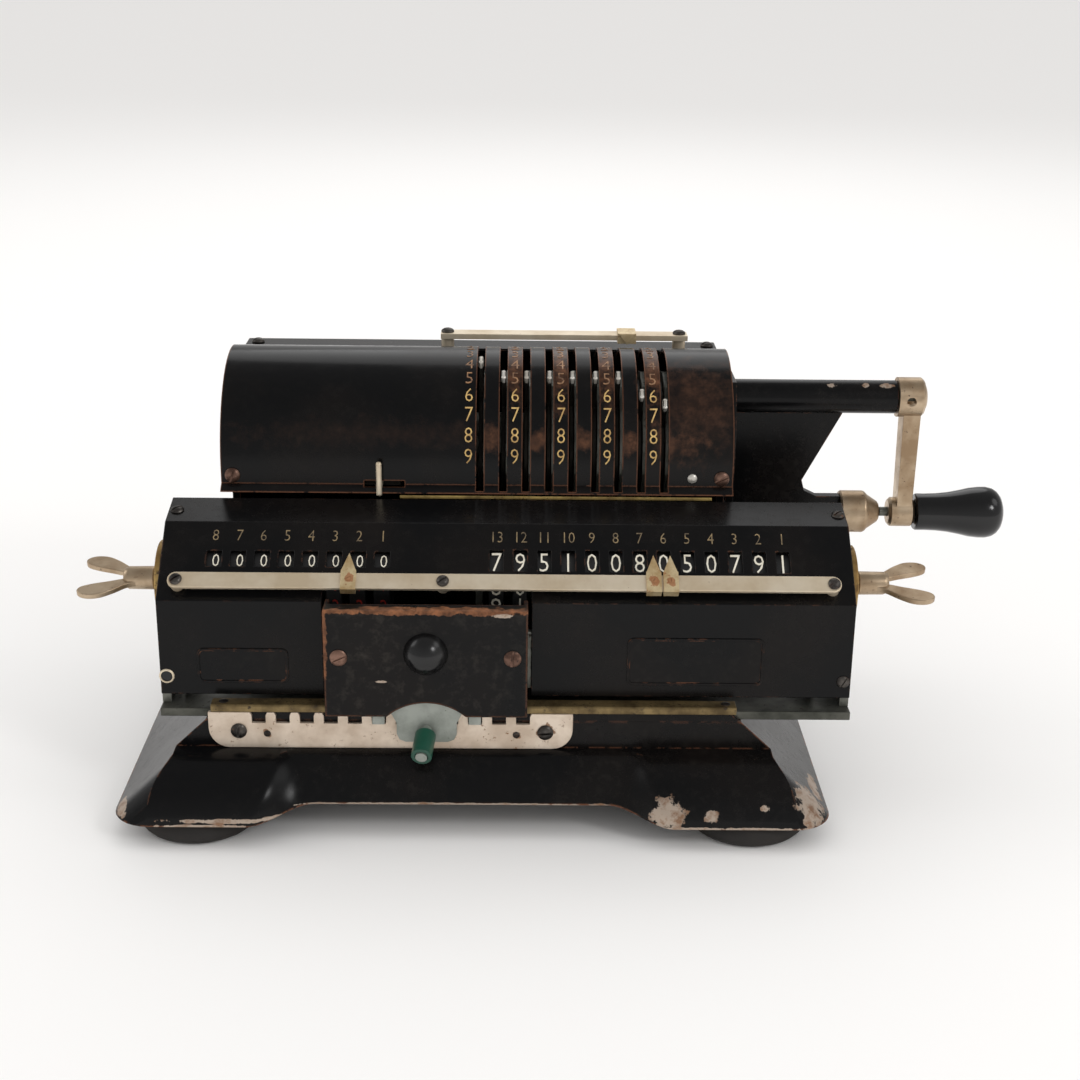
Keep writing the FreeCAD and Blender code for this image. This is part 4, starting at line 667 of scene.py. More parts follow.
# Operators, one for each piece or group of like pieces
class CALCULATOR_OT_base(bpy.types.Operator):
    """Pressed base pan with rounded ridges and chipped rim"""
    bl_idname = "calculator.base"
    bl_label = "Base pan"

    def execute(self, context):
        pan = cut(self.pan_block(0.0, 0.0), self.pan_block(PAN_SHEET, 6.0))
        bevel(pan, 0.8, 3, 28.0)
        wall, seat = RACK_HIGH.y, PAN_TOP - 0.2
        lip = block((MID_X - PAN_TOP_HALF, wall, seat), (MID_X + PAN_TOP_HALF, wall + 1.5, PAN_LIP_TOP))
        pick_faces(lip, lambda face: face.normal.z > 0.9)
        lip_middle = Vector((MID_X, wall, PAN_LIP_TOP))
        bpy.ops.transform.resize(value=(0.96, 1, 1), center_override=lip_middle * MM)
        bpy.ops.object.mode_set(mode="OBJECT")
        half, (front, rear) = PAN_TOP_HALF - 1.0, GUIDE_Y
        guide = block((MID_X - half, front, seat), (MID_X + half, rear, GUIDE_TOP))
        hook = block((MID_X - half, front - 2.7, PAN_LIP_TOP), (MID_X + half, front + 0.05, GUIDE_TOP))
        front_y, rear_y = BASE_LOW.y + FOOT_RADIUS + 1, BASE_HIGH.y - FOOT_RADIUS - 1
        corners = [(x, y, 9.5) for x in (MID_X - 92.5, MID_X + 92.5) for y in (front_y, rear_y)]
        posts = copies(turned_form([(0, 5.0), (15.8, 5.0)], ORIGIN, UPWARD, 24), corners)
        shell = join([pan, bevel(lip, 0.3, 2), bevel(cut(guide, hook, "UNION"), 0.3, 2)] + posts)
        finish_piece(shell, "base_shell_shown", "frame", "base_lacquer", ("base_shell",),
                     42.0)
        return {"FINISHED"}

    def swell(self, x, down):
        # 1 over a foot and 0 between the feet, on a flank that widens from the ledge down to the rim
        run = 6.0 + 16.0 * down
        t = [(x - flank) / run + 0.5 for flank in FLANKS_X]
        left, right = (min(max(v, 0.0), 1.0) for v in t)
        return 1.0 - left * left * (3 - 2 * left) + right * right * (3 - 2 * right)

    def skirt(self, x, wall, reach, inset, low_cut):
        # Points from the ledge down to the rim, reach being negative at the front
        points = []
        for i in range(15):
            down = i / 14
            full = self.swell(x, down)
            out = (0.13 + 0.52 * down ** 0.7) * (1 - full) + (0.27 + 0.73 * sin(pi / 2 * down ** 0.8)) * full
            fall = down * (13.6 * (1 - full) + 18.0 * full)
            lower = low_cut if i == 14 else 0.7 * inset
            points.append((wall + reach * out - inset * (1 if reach > 0 else -1), LEDGE - fall - lower))
        return points

    def pan_block(self, inset, low_cut):
        # A grid wrapped round cross-sections of the pan, then trimmed to its sloping ends and rounded corners
        wall, rear, top = RACK_HIGH.y, SHELF_HIGH.y, PAN_TOP - inset
        flanks = [flank + step for flank in FLANKS_X for step in range(-12, 13)]
        stations = [BASE_LOW.x - 2, *flanks, BASE_HIGH.x + 2]
        rows = []
        for x in stations:
            front = self.skirt(x, wall, BASE_LOW.y - wall, inset, low_cut)
            back = self.skirt(x, rear, BASE_HIGH.y - rear, inset, low_cut)
            loop = front[::-1] + [(wall + inset, front[0][1]), (wall + inset, top), (rear - inset, top),
                                  (rear - inset, back[0][1])] + back
            rows.append([Vector((x, y, z)) for y, z in loop + loop[:1]])
        deselect()
        bpy.ops.mesh.primitive_grid_add(x_subdivisions=len(rows[0]) - 1, y_subdivisions=len(rows) - 1,
                                        size=1.0)
        pan = bpy.context.object
        order = sorted(pan.data.vertices, key=lambda v: (round(v.co.y, 4), v.co.x))
        for vertex, place in zip(order, [place for row in rows for place in row]):
            vertex.co = place * MM
        bpy.ops.object.mode_set(mode="EDIT")
        bpy.ops.mesh.select_all(action="SELECT")
        bpy.ops.mesh.remove_doubles(threshold=0.001 * MM)
        bpy.ops.mesh.fill_holes(sides=0)
        bpy.ops.mesh.normals_make_consistent(inside=False)
        bpy.ops.object.mode_set(mode="OBJECT")
        return cut(pan, self.ends(inset, low_cut), "INTERSECT")

    def ends(self, inset, low_cut):
        # A rounded plan drawn up and narrowed, as steep as the pan's ends
        low, high = PAN_RIM - low_cut - 0.01, PAN_TOP + 0.8
        half = (BASE_HIGH.x - BASE_LOW.x) / 2 - inset * 1.4 + (PAN_RIM - low) * PAN_LEAN
        front, rear, r = BASE_LOW.y + inset, BASE_HIGH.y - inset, PAN_CORNER - inset
        plan = []
        for corner, (x, y) in enumerate(((1, rear - r), (-1, rear - r), (-1, front + r), (1, front + r))):
            for i in range(9):
                turn = radians(90 * corner + 90 * i / 8)
                plan.append((MID_X + x * (half - r) + r * cos(turn), y + r * sin(turn), low))
        deselect()
        bpy.ops.mesh.primitive_circle_add(vertices=len(plan), radius=1.0, fill_type="NGON")
        obj = bpy.context.object
        for vertex, place in zip(obj.data.vertices, plan):
            vertex.co = Vector(place) * MM
        bpy.ops.object.mode_set(mode="EDIT")
        bpy.ops.mesh.select_all(action="SELECT")
        bpy.ops.mesh.extrude_region_move(TRANSFORM_OT_translate={"value": (0, 0, (high - low) * MM)})
        ratio = 1.0 - (high - low) * PAN_LEAN / half
        bpy.ops.transform.resize(value=(ratio, 1, 1), center_override=(MID_X * MM, 0, high * MM))
        bpy.ops.mesh.select_all(action="SELECT")
        bpy.ops.mesh.normals_make_consistent(inside=False)
        bpy.ops.object.mode_set(mode="OBJECT")
        return obj


class CALCULATOR_OT_feet(bpy.types.Operator):
    """Four round rubber feet"""
    bl_idname = "calculator.feet"
    bl_label = "Rubber feet"

    def execute(self, context):
        low, high = node_box("rubber_feet")
        r = FOOT_RADIUS
        rings = [(0.0, r - 2.6), (0.6, r - 1.2), (1.6, r - 0.3), (2.6, r), (5.0, r - 0.5), (8.6, r - 2.6),
                 (9.4, r - 3.4)]
        corners = [(x, y, 0) for x in (low.x + r, high.x - r) for y in (low.y + r, high.y - r)]
        feet = copies(turned_form(rings, ORIGIN, UPWARD, 64), corners)
        finish_piece(join(feet), "rubber_feet_shown", "frame", "foot_rubber",
                     ("rubber_feet",))
        return {"FINISHED"}


class CALCULATOR_OT_guides(bpy.types.Operator):
    """Brass guide rail, notched rack plate and the carriage bed"""
    bl_idname = "calculator.guides"
    bl_label = "Guides and rack"

    def execute(self, context):
        refined("front_guide_rail", "frame", "rail_brass", 0.25)
        refined("rack_plate", "frame", "cream_nickel", 0.22, 2, 40.0)
        refined("carriage_bed", "carriage", "bed_steel", 0.3)
        return {"FINISHED"}


class CALCULATOR_OT_drum_cover(bpy.types.Operator):
    """Rolled drum cover with its setting slots and flared lower lip"""
    bl_idname = "calculator.drum_cover"
    bl_label = "Drum cover"

    def execute(self, context):
        sizes = context.scene.calculator_sizes
        r, t = sizes.cover_radius, sizes.cover_sheet
        end = 180.0 - degrees(asin((SHELF_HIGH.z - ROTOR.z) / r))
        deselect()
        start = Vector((DRUM_MID_X, ROTOR.y - r + t / 2, ROTOR.z))
        bpy.ops.mesh.primitive_plane_add(size=1.0, location=start * MM)
        cover = context.object
        cover.scale = ((DRUM_HIGH.x - DRUM_LOW.x) * MM, t * MM, 1.0)
        bpy.ops.object.transform_apply(location=True, rotation=True, scale=True)
        bpy.ops.object.mode_set(mode="EDIT")
        bpy.ops.mesh.select_all(action="SELECT")
        bpy.ops.mesh.spin(steps=64, dupli=False, angle=radians(end),
                          center=(0, ROTOR.y * MM, ROTOR.z * MM), axis=(1, 0, 0))
        pick_faces(cover, lambda face: face.center.y < ROTOR.y * MM and all(
            abs(cover.data.vertices[v].co.z - ROTOR.z * MM) < 0.01 * MM for v in face.vertices))
        for move in ((0, 0, -4.5), (0, -2.6, -1.6), (0, -0.5, -0.7)):
            bpy.ops.mesh.extrude_region_move(TRANSFORM_OT_translate={"value": Vector(move) * MM})
        bpy.ops.mesh.select_all(action="SELECT")
        bpy.ops.mesh.normals_make_consistent(inside=False)
        bpy.ops.object.mode_set(mode="OBJECT")
        slots = [(FIRST_SLOT_X + PITCH * i, 0, 0) for i in range(len(DIGITS_SET))]
        for cutter in copies(self.slot_cutter(sizes, end), slots):
            cover = cut(cover, cutter)
        low, high = node_box("clearing_lever")
        cover = cut(cover, block((low.x + 1.6, DRUM_LOW.y, CLEARING_Z - 1.1),
                                 (high.x + 1.6, ROTOR.y - r + t + 2, CLEARING_Z + 1.1)))
        bevel(cover, 0.22, 2, 40.0)
        finish_piece(cover, "drum_cover_shown", "frame", "drum_lacquer", ("drum_cover",),
                     40.0)
        refined("lip_strip", "frame", "strip_brass", 0.1)
        return {"FINISHED"}

    def slot_cutter(self, sizes, end):
        # A flat bar standing out from the axis, swept round from below the lip to past the cover's end
        first, inner = -30.0, sizes.cover_radius - 5.0
        deselect()
        middle = on_drum(0, first, (inner + sizes.slot_reach) / 2)
        bpy.ops.mesh.primitive_plane_add(size=1.0, location=middle * MM, rotation=(radians(-first), 0, 0))
        obj = bpy.context.object
        obj.scale = (sizes.slot_width * MM, (sizes.slot_reach - inner) * MM, 1.0)
        bpy.ops.object.transform_apply(location=True, rotation=True, scale=True)
        bpy.ops.object.mode_set(mode="EDIT")
        bpy.ops.mesh.select_all(action="SELECT")
        bpy.ops.mesh.spin(steps=64, dupli=False, angle=radians(end + 6.0 - first),
                          center=(0, ROTOR.y * MM, ROTOR.z * MM),
                          axis=(1, 0, 0))
        bpy.ops.mesh.select_all(action="SELECT")
        bpy.ops.mesh.normals_make_consistent(inside=False)
        bpy.ops.object.mode_set(mode="OBJECT")
        return obj


class CALCULATOR_OT_cover_figures(bpy.types.Operator):
    """Painted figures beside the setting slots"""
    bl_idname = "calculator.cover_figures"
    bl_label = "Cover figures"

    def execute(self, context):
        sizes = context.scene.calculator_sizes
        bright, worn = [], []
        for column in range(5):
            x = FIRST_SLOT_X - PITCH / 2 + 2 * PITCH * column
            for digit in range(10):
                angle = digit_angle(digit)
                out = on_drum(0, angle, 1) - on_drum(0, angle, 0)
                up = Vector((0, sin(radians(angle)), cos(radians(angle))))
                place = on_drum(x, angle, sizes.cover_radius - 0.02)
                # Figures 0 to 5, on the top of the drum, are a darker brown and 6 to 9, on its front, gold
                group = bright if digit > 5 else worn
                group.append(figure(str(digit), sizes.cover_figure, place, up, out))
        finish_piece(join(bright), "cover_figures_bright", "frame", "figure_gold")
        finish_piece(join(worn), "cover_figures_upper", "frame", "figure_brown")
        return {"FINISHED"}


class CALCULATOR_OT_housing(bpy.types.Operator):
    """Rear housing, side frames and the pointer rail on top"""
    bl_idname = "calculator.housing"
    bl_label = "Housing"

    def execute(self, context):
        refined("rear_cover", "frame", "housing_lacquer", 0.8, 3)
        for side in ("left", "right"):
            refined(side + "_side_frame", "frame", "housing_lacquer", 0.3, 2, 40.0)
        refined("top_pointer_rail", "frame", "rail_nickel", 0.25, 2, 40.0)
        refined("top_pointer", "top_pointer", "pointer_nickel", 0.15, 2, 40.0)
        low, high = node_box("clearing_lever")
        x, z = (low.x + high.x) / 2, CLEARING_Z
        stem = bevel(block((x - 1.0, low.y, z - 3.4), (x + 1.0, low.y + 1.8, z + 9.0)), 0.85, 4)
        tab = block((x - 0.9, low.y + 1.0, z - 0.9), (x + 0.9, high.y - 0.5, z + 0.9))
        lever = join([stem, tab])
        finish_piece(lever, "clearing_lever_shown", "clearing_lever", "rail_nickel",
                     ("clearing_lever",))
        plate = bevel(block((low.x, high.y - 1.0, z - 2.0), (high.x, high.y, z + 2.0)), 0.2)
        finish_piece(plate, "clearing_plate", "clearing_lever", "ring_steel")
        return {"FINISHED"}


class CALCULATOR_OT_rotor(bpy.types.Operator):
    """Setting rings with their levers, and the pinwheels behind them"""
    bl_idname = "calculator.rotor"
    bl_label = "Rotor"

    def execute(self, context):
        tip = bevel(block((-0.85, -37.3, -1.9), (0.85, -34.0, 1.9)), 0.7, 4)
        for i, digit in enumerate(DIGITS_SET, 1):
            refined("setting_ring_%d" % i, "ring_%d" % i, "ring_steel", 0.25, 2, 40.0)
            # Rounded end of the lever, turned to the digit that it shows
            end = copy_at(tip, ORIGIN)
            middle = Vector((FIRST_SLOT_X + PITCH * (i - 1), ROTOR.y, ROTOR.z))
            turn = Matrix.Rotation(radians(-digit_angle(digit)), 4, "X")
            end.data.transform(Matrix.Translation(middle * MM) @ turn)
            finish_piece(end, "setting_tip_%d" % i, "ring_%d" % i, "tip_nickel")
            paint_node("pinwheel_%d" % i, "bare_steel")
        bpy.data.objects.remove(tip)
        paint_node("rotor_shaft", "bare_steel")
        return {"FINISHED"}


class CALCULATOR_OT_crank(bpy.types.Operator):
    """Bracket, stop cup, crank arm and its turned black handle"""
    bl_idname = "calculator.crank"
    bl_label = "Crank"

    def execute(self, context):
        refined("crank_bracket", "frame", "bracket_lacquer", 0.6, 3, 40.0)
        r = (CUP_HIGH.z - CUP_LOW.z) / 2
        long = CUP_HIGH.x - CUP_LOW.x
        rings = [(0.0, r - 0.5), (0.5, r), (long - 6.2, r), (long - 5.5, r - 0.15), (long - 4.9, r - 0.6),
                 (long - 4.3, r - 1.3), (long - 0.5, 3.9), (long, 3.2)]
        cup = turned_form(rings, CUP_MID, (1, 0, 0))
        mouth = turned_form([(long - 6.0, 2.0), (long + 1.0, 2.0)], CUP_MID, TO_RIGHT, 32)
        finish_piece(cut(cup, mouth), "stop_cup_shown", "frame", "worn_nickel", ("stop_cup",))
        paint_node("crank_shaft", "bare_steel")
        self.arm()
        self.handle()
        low, high = node_box("lock_pin")
        pin = turned_form([(0, 1.4), (0.4, 1.7), (high.x - low.x, 1.7)], (low.x, CUP_MID.y, CUP_MID.z),
                          TO_RIGHT, 24)
        finish_piece(pin, "lock_pin_shown", "handle", "bare_steel", ("lock_pin",))
        return {"FINISHED"}

    def arm(self):
        # Forged arm with a pin hole in the front of its boss and the shaft's domed end
        low, high = node_box("crank_arm")
        arm = bevel(node_copy("crank_arm"), 0.5, 3, 40.0)
        hole = turned_form([(0.0, 1.7), (5.0, 1.7)], (low.x + 4.2, CRANK.y - 8.5, CRANK.z), (0, 1, 0), 32)
        dome = turned_form([(-0.4, 5.0), (0.3, 4.9), (0.8, 4.2), (1.15, 2.8), (1.3, 0.9)],
                           (high.x, CRANK.y, CRANK.z),
                           (1, 0, 0), 40)
        finish_piece(join([cut(arm, hole), dome]), "crank_arm_shown", "crank", "worn_nickel",
                     ("crank_arm",), 40.0)

    def handle(self):
        long = HANDLE_HIGH.x - HANDLE_LOW.x
        r0, r1 = 6.8, 9.5
        # Outline of the handle, as (share of its length, radius)
        swell = [(0.0, r0 - 0.5), (0.02, r0), (0.12, r0), (0.25, r0 + 0.15), (0.38, r0 + 0.6),
                 (0.5, r0 + 1.35),
                 (0.62, r1 - 0.45), (0.72, r1 - 0.06), (0.8, r1), (0.87, r1 - 0.5), (0.92, r1 - 1.5),
                 (0.96, r1 - 3.1), (0.985, r1 - 5.2), (1.0, 0.9)]
        grip = turned_form([(share * long, r) for share, r in swell],
                           (HANDLE_LOW.x, CUP_MID.y, CUP_MID.z), TO_RIGHT, 64)
        finish_piece(grip, "crank_handle_shown", "handle", "black_grip",
                     ("crank_handle",), 60.0)


class CALCULATOR_OT_carriage(bpy.types.Operator):
    """Bent carriage cover with its ends and two bare panels"""
    bl_idname = "calculator.carriage"
    bl_label = "Carriage"

    def execute(self, context):
        refined("carriage_cover", "carriage", "carriage_lacquer", 0.55, 3, 25.0)
        for node in ("carriage_ends", "carriage_bearers", "register_shafts", "shield_bracket"):
            paint_node(node, "bare_steel")
        paint_node("idler_gears", "bare_steel")
        for mid_x, mid_z, wide, tall in ((-107.2, 53.2, 30.2, 12.4), (43.5, 55.6, 45.6, 17.0)):
            self.panel(mid_x, mid_z, wide, tall)
        self.eyelet(Vector((-132.75, CARRIAGE_LOW.y, 49.2)))
        return {"FINISHED"}

    def panel(self, x, z, wide, tall):
        # A bare plate stamped into the sheet: a low rounded rim round a flat field
        front = CARRIAGE_LOW.y
        plate = block((x - wide / 2, front - 0.45, z - tall / 2), (x + wide / 2, front + 0.1, z + tall / 2))
        round_corners(plate, 1, 2.2, 5)
        pick_faces(plate, lambda face: face.normal.y < -0.9)
        bpy.ops.mesh.inset(thickness=0.8 * MM)
        bpy.ops.mesh.extrude_region_move(TRANSFORM_OT_translate={"value": (0, 0.4 * MM, 0)})
        bpy.ops.object.mode_set(mode="OBJECT")
        bevel(plate, 0.16, 2, 40.0)
        finish_piece(plate, "panel_%d" % round(wide), "carriage", "panel_lacquer")

    def eyelet(self, place):
        ring = turned_form([(0.0, 2.6), (0.25, 2.55), (0.45, 2.3)], place, TO_FRONT, 32)
        ring = cut(ring, turned_form([(-0.5, 1.95), (1.0, 1.95)], place, TO_FRONT, 32))
        finish_piece(ring, "eyelet", "carriage", "rail_nickel")
        # A thin black disc inside the ring is painted shade, standing in for the dark of the hole
        hole = turned_form([(0.0, 2.0), (0.06, 2.0)], place, TO_FRONT, 32)
        finish_piece(hole, "eyelet_shade_disc", "carriage", "wheel_black")


class CALCULATOR_OT_registers(bpy.types.Operator):
    """Figure wheels of both registers, and the place figures over the windows"""
    bl_idname = "calculator.registers"
    bl_label = "Registers"

    def execute(self, context):
        sizes = context.scene.calculator_sizes
        self.fit_wheels("result", RESULT_UNITS_X, RESULT_SHOWN[::-1], "results", 5.0, 6.9, sizes)
        self.fit_wheels("counter", COUNTER_UNITS_X, COUNTER_SHOWN, "counters", 5.4, 4.6, sizes)
        labels = []
        for shown, units_x in ((RESULT_SHOWN, RESULT_UNITS_X), (COUNTER_SHOWN, COUNTER_UNITS_X)):
            for i in range(len(shown)):
                place = on_slope(units_x - PITCH * i, 25.0, -0.02)
                labels.append(figure(str(i + 1), sizes.label_figure, place, SLOPE, SLOPE_OUT, 0.1, 0.8))
        finish_piece(join(labels), "place_figures", "carriage", "figure_dull")
        return {"FINISHED"}

    def fit_wheels(self, kind, units_x, shown, body, wide, tall, sizes):
        figures = {"white": [], "red": []}
        lift = degrees(atan2(SLOPE.y, SLOPE.z))
        r = sizes.wheel_radius
        rings = [(0, r - 0.3), (0.3, r), (wide - 0.3, r), (wide, r - 0.3)]
        lefts = [units_x - PITCH * i - wide / 2 - (0.0 if kind == "result" else 0.2)
                 for i in range(len(shown))]
        wheels = copies(turned_form(rings, ORIGIN, TO_RIGHT, 60),
                        [(left, WHEELS.y, WHEELS.z) for left in lefts])
        for left, digit in zip(lefts, shown):
            for value in range(10):
                angle = radians(lift + 36.0 * (int(digit) - value))
                out = Vector((0, -cos(angle), sin(angle)))
                up = Vector((0, sin(angle), cos(angle)))
                aside = 0.7 if kind == "counter" else 0.0
                place = Vector((left + wide / 2 + aside, WHEELS.y, WHEELS.z)) + out * (r + 0.02)
                shade = "red" if kind == "counter" and value else "white"
                figures[shade].append(figure(str(value), tall, place, up, out, 0.25, 0.8))
        finish_piece(join(wheels), kind + "_wheels_shown", body, "wheel_black",
                     (kind + "_wheels",))
        for shade, group in figures.items():
            if group:
                finish_piece(join(group), kind + "_figures_" + shade, body, "figure_" + shade)


class CALCULATOR_OT_pointer_rail(bpy.types.Operator):
    """Pointer rail in front of the windows with its three pointers"""
    bl_idname = "calculator.pointer_rail"
    bl_label = "Pointer rail"

    def execute(self, context):
        low, high = CARRIAGE_LOW.x + 4.0, CARRIAGE_HIGH.x - 5.2
        bar = block((low, -RAIL_WIDE / 2, RAIL_OFF), (high, RAIL_WIDE / 2, RAIL_OFF + RAIL_THICK))
        bar = bevel(round_corners(bar, 2, RAIL_WIDE / 2 - 0.1, 8), 0.3, 3, 40.0)
        lean = Matrix((Vector((1, 0, 0)), SLOPE, SLOPE_OUT)).transposed().to_4x4()
        bar.data.transform(Matrix.Translation(on_slope(0, RAIL_UP) * MM) @ lean)
        post = turned_form([(0.0, 2.2), (RAIL_OFF + 0.1, 2.2)], ORIGIN, SLOPE_OUT, 24)
        posts = copies(post, [on_slope(x, RAIL_UP) for x in RAIL_SCREWS_X])
        finish_piece(join([bar] + posts), "carriage_pointer_rail_shown", "carriage", "rail_nickel",
                     ("carriage_pointer_rail",))
        for i in (1, 2, 3):
            name = "rail_pointer_%d" % i
            clip = bevel(node_copy(name), 0.15, 2, 40.0)
            place = on_slope(POINTERS_X[i - 1], RAIL_UP + 0.4, 5.3)
            screw = slotted_heads([place], SLOPE_OUT, 1.0, 0.6, 30 * i)
            finish_piece(join([clip] + screw), name + "_shown", name, "pointer_nickel",
                         (name,), 35.0)
        return {"FINISHED"}


class CALCULATOR_OT_latch(bpy.types.Operator):
    """Shield, thumb knob, latch plate and its sleeved pin"""
    bl_idname = "calculator.latch"
    bl_label = "Latch"

    def execute(self, context):
        refined("latch_shield", "carriage", "shield_lacquer", 0.35, 3, 40.0)
        r = (KNOB_HIGH.x - KNOB_LOW.x) / 2
        tall = KNOB_HIGH.y - KNOB_LOW.y
        ball = (r ** 2 + tall ** 2) / (2 * tall)
        rings = [(0.0, r)]
        for share in (0.12, 0.25, 0.4, 0.55, 0.68, 0.8, 0.9, 0.96, 0.99, 0.9985):
            h = tall * share
            rings.append((h, (ball ** 2 - (h + ball - tall) ** 2) ** 0.5))
        middle = ((KNOB_LOW.x + KNOB_HIGH.x) / 2, KNOB_HIGH.y, (KNOB_LOW.z + KNOB_HIGH.z) / 2)
        knob = turned_form(rings, middle, TO_FRONT, 64)
        finish_piece(knob, "thumb_knob_shown", "carriage", "black_knob", ("thumb_knob",),
                     60.0)
        refined("latch_lever", "latch", "latch_steel", 0.2, 2, 40.0)
        refined("latch_sleeve", "latch", "sleeve_green", 0.35, 3, 40.0)
        return {"FINISHED"}


class CALCULATOR_OT_clearing_nuts(bpy.types.Operator):
    """End discs and the wing nuts that clear the registers"""
    bl_idname = "calculator.clearing_nuts"
    bl_label = "Clearing nuts"

    def execute(self, context):
        refined("end_discs", "carriage", "disc_brass", 0.4, 3, 40.0)
        self.wing_nut("left", -1)
        self.wing_nut("right", 1)
        return {"FINISHED"}

    def wing_nut(self, side, way):
        low, high = node_box(side + "_wing_nut")
        inner, tip = (low.x, high.x) if way > 0 else (high.x, low.x)
        start = tip - way * WING_REACH
        axis = Vector((start, WHEELS.y, WHEELS.z))
        shank = turned_form([(0.0, 2.2), (abs(start - inner) + 1.0, 2.2)], (inner, WHEELS.y, WHEELS.z),
                            (way, 0, 0), 24)
        hub = turned_form([(0.0, 3.5), (0.5, 4.0), (8.8, 3.9), (10.2, 3.3), (10.5, 2.8)], axis,
                          (way, 0, 0), 32)
        leaves = [self.leaf(axis, way, up) for up in (-1, 1)]
        nut = join([hub, shank] + leaves)
        centre = Matrix.Translation(axis * MM)
        nut.data.transform(centre @ Matrix.Rotation(radians(WING_TILT), 4, "X") @ centre.inverted())
        finish_piece(nut, side + "_wing_nut_shown", side + "_wing", "worn_nickel",
                     (side + "_wing_nut",), 50.0)

    def leaf(self, axis, way, up):
        # Ear whose outline curves through a few points, given as (along the axis, away from it)
        points = [(3.0, 3.0), (8.5, 4.6), (13.0, 8.2), (17.5, 10.9), (22.0, 11.2), (24.8, 9.4), (24.3, 6.8),
                  (20.5, 4.9), (15.0, 3.3), (9.0, 1.6)]
        outline = []
        for i in range(len(points)):
            p0, p1, p2, p3 = (Vector(points[(i + k - 1) % len(points)]) for k in range(4))
            for t in (0.0, 0.25, 0.5, 0.75):
                outline.append(0.5 * (2 * p1 + (p2 - p0) * t + (2 * p0 - 5 * p1 + 4 * p2 - p3) * t ** 2
                                      + (3 * p1 - p0 - 3 * p2 + p3) * t ** 3))
        deselect()
        bpy.ops.mesh.primitive_circle_add(vertices=len(outline), radius=1.0, fill_type="NGON")
        obj = bpy.context.object
        for vertex, (along, away) in zip(obj.data.vertices, outline):
            vertex.co = (axis + Vector((way * along, up * away, -LEAF_THICK / 2))) * MM
        bpy.ops.object.mode_set(mode="EDIT")
        bpy.ops.mesh.select_all(action="SELECT")
        bpy.ops.mesh.extrude_region_move(TRANSFORM_OT_translate={"value": (0, 0, LEAF_THICK * MM)})
        bpy.ops.mesh.select_all(action="SELECT")
        bpy.ops.mesh.normals_make_consistent(inside=False)
        bpy.ops.object.mode_set(mode="OBJECT")
        return bevel(obj, 0.75, 4, 40.0)


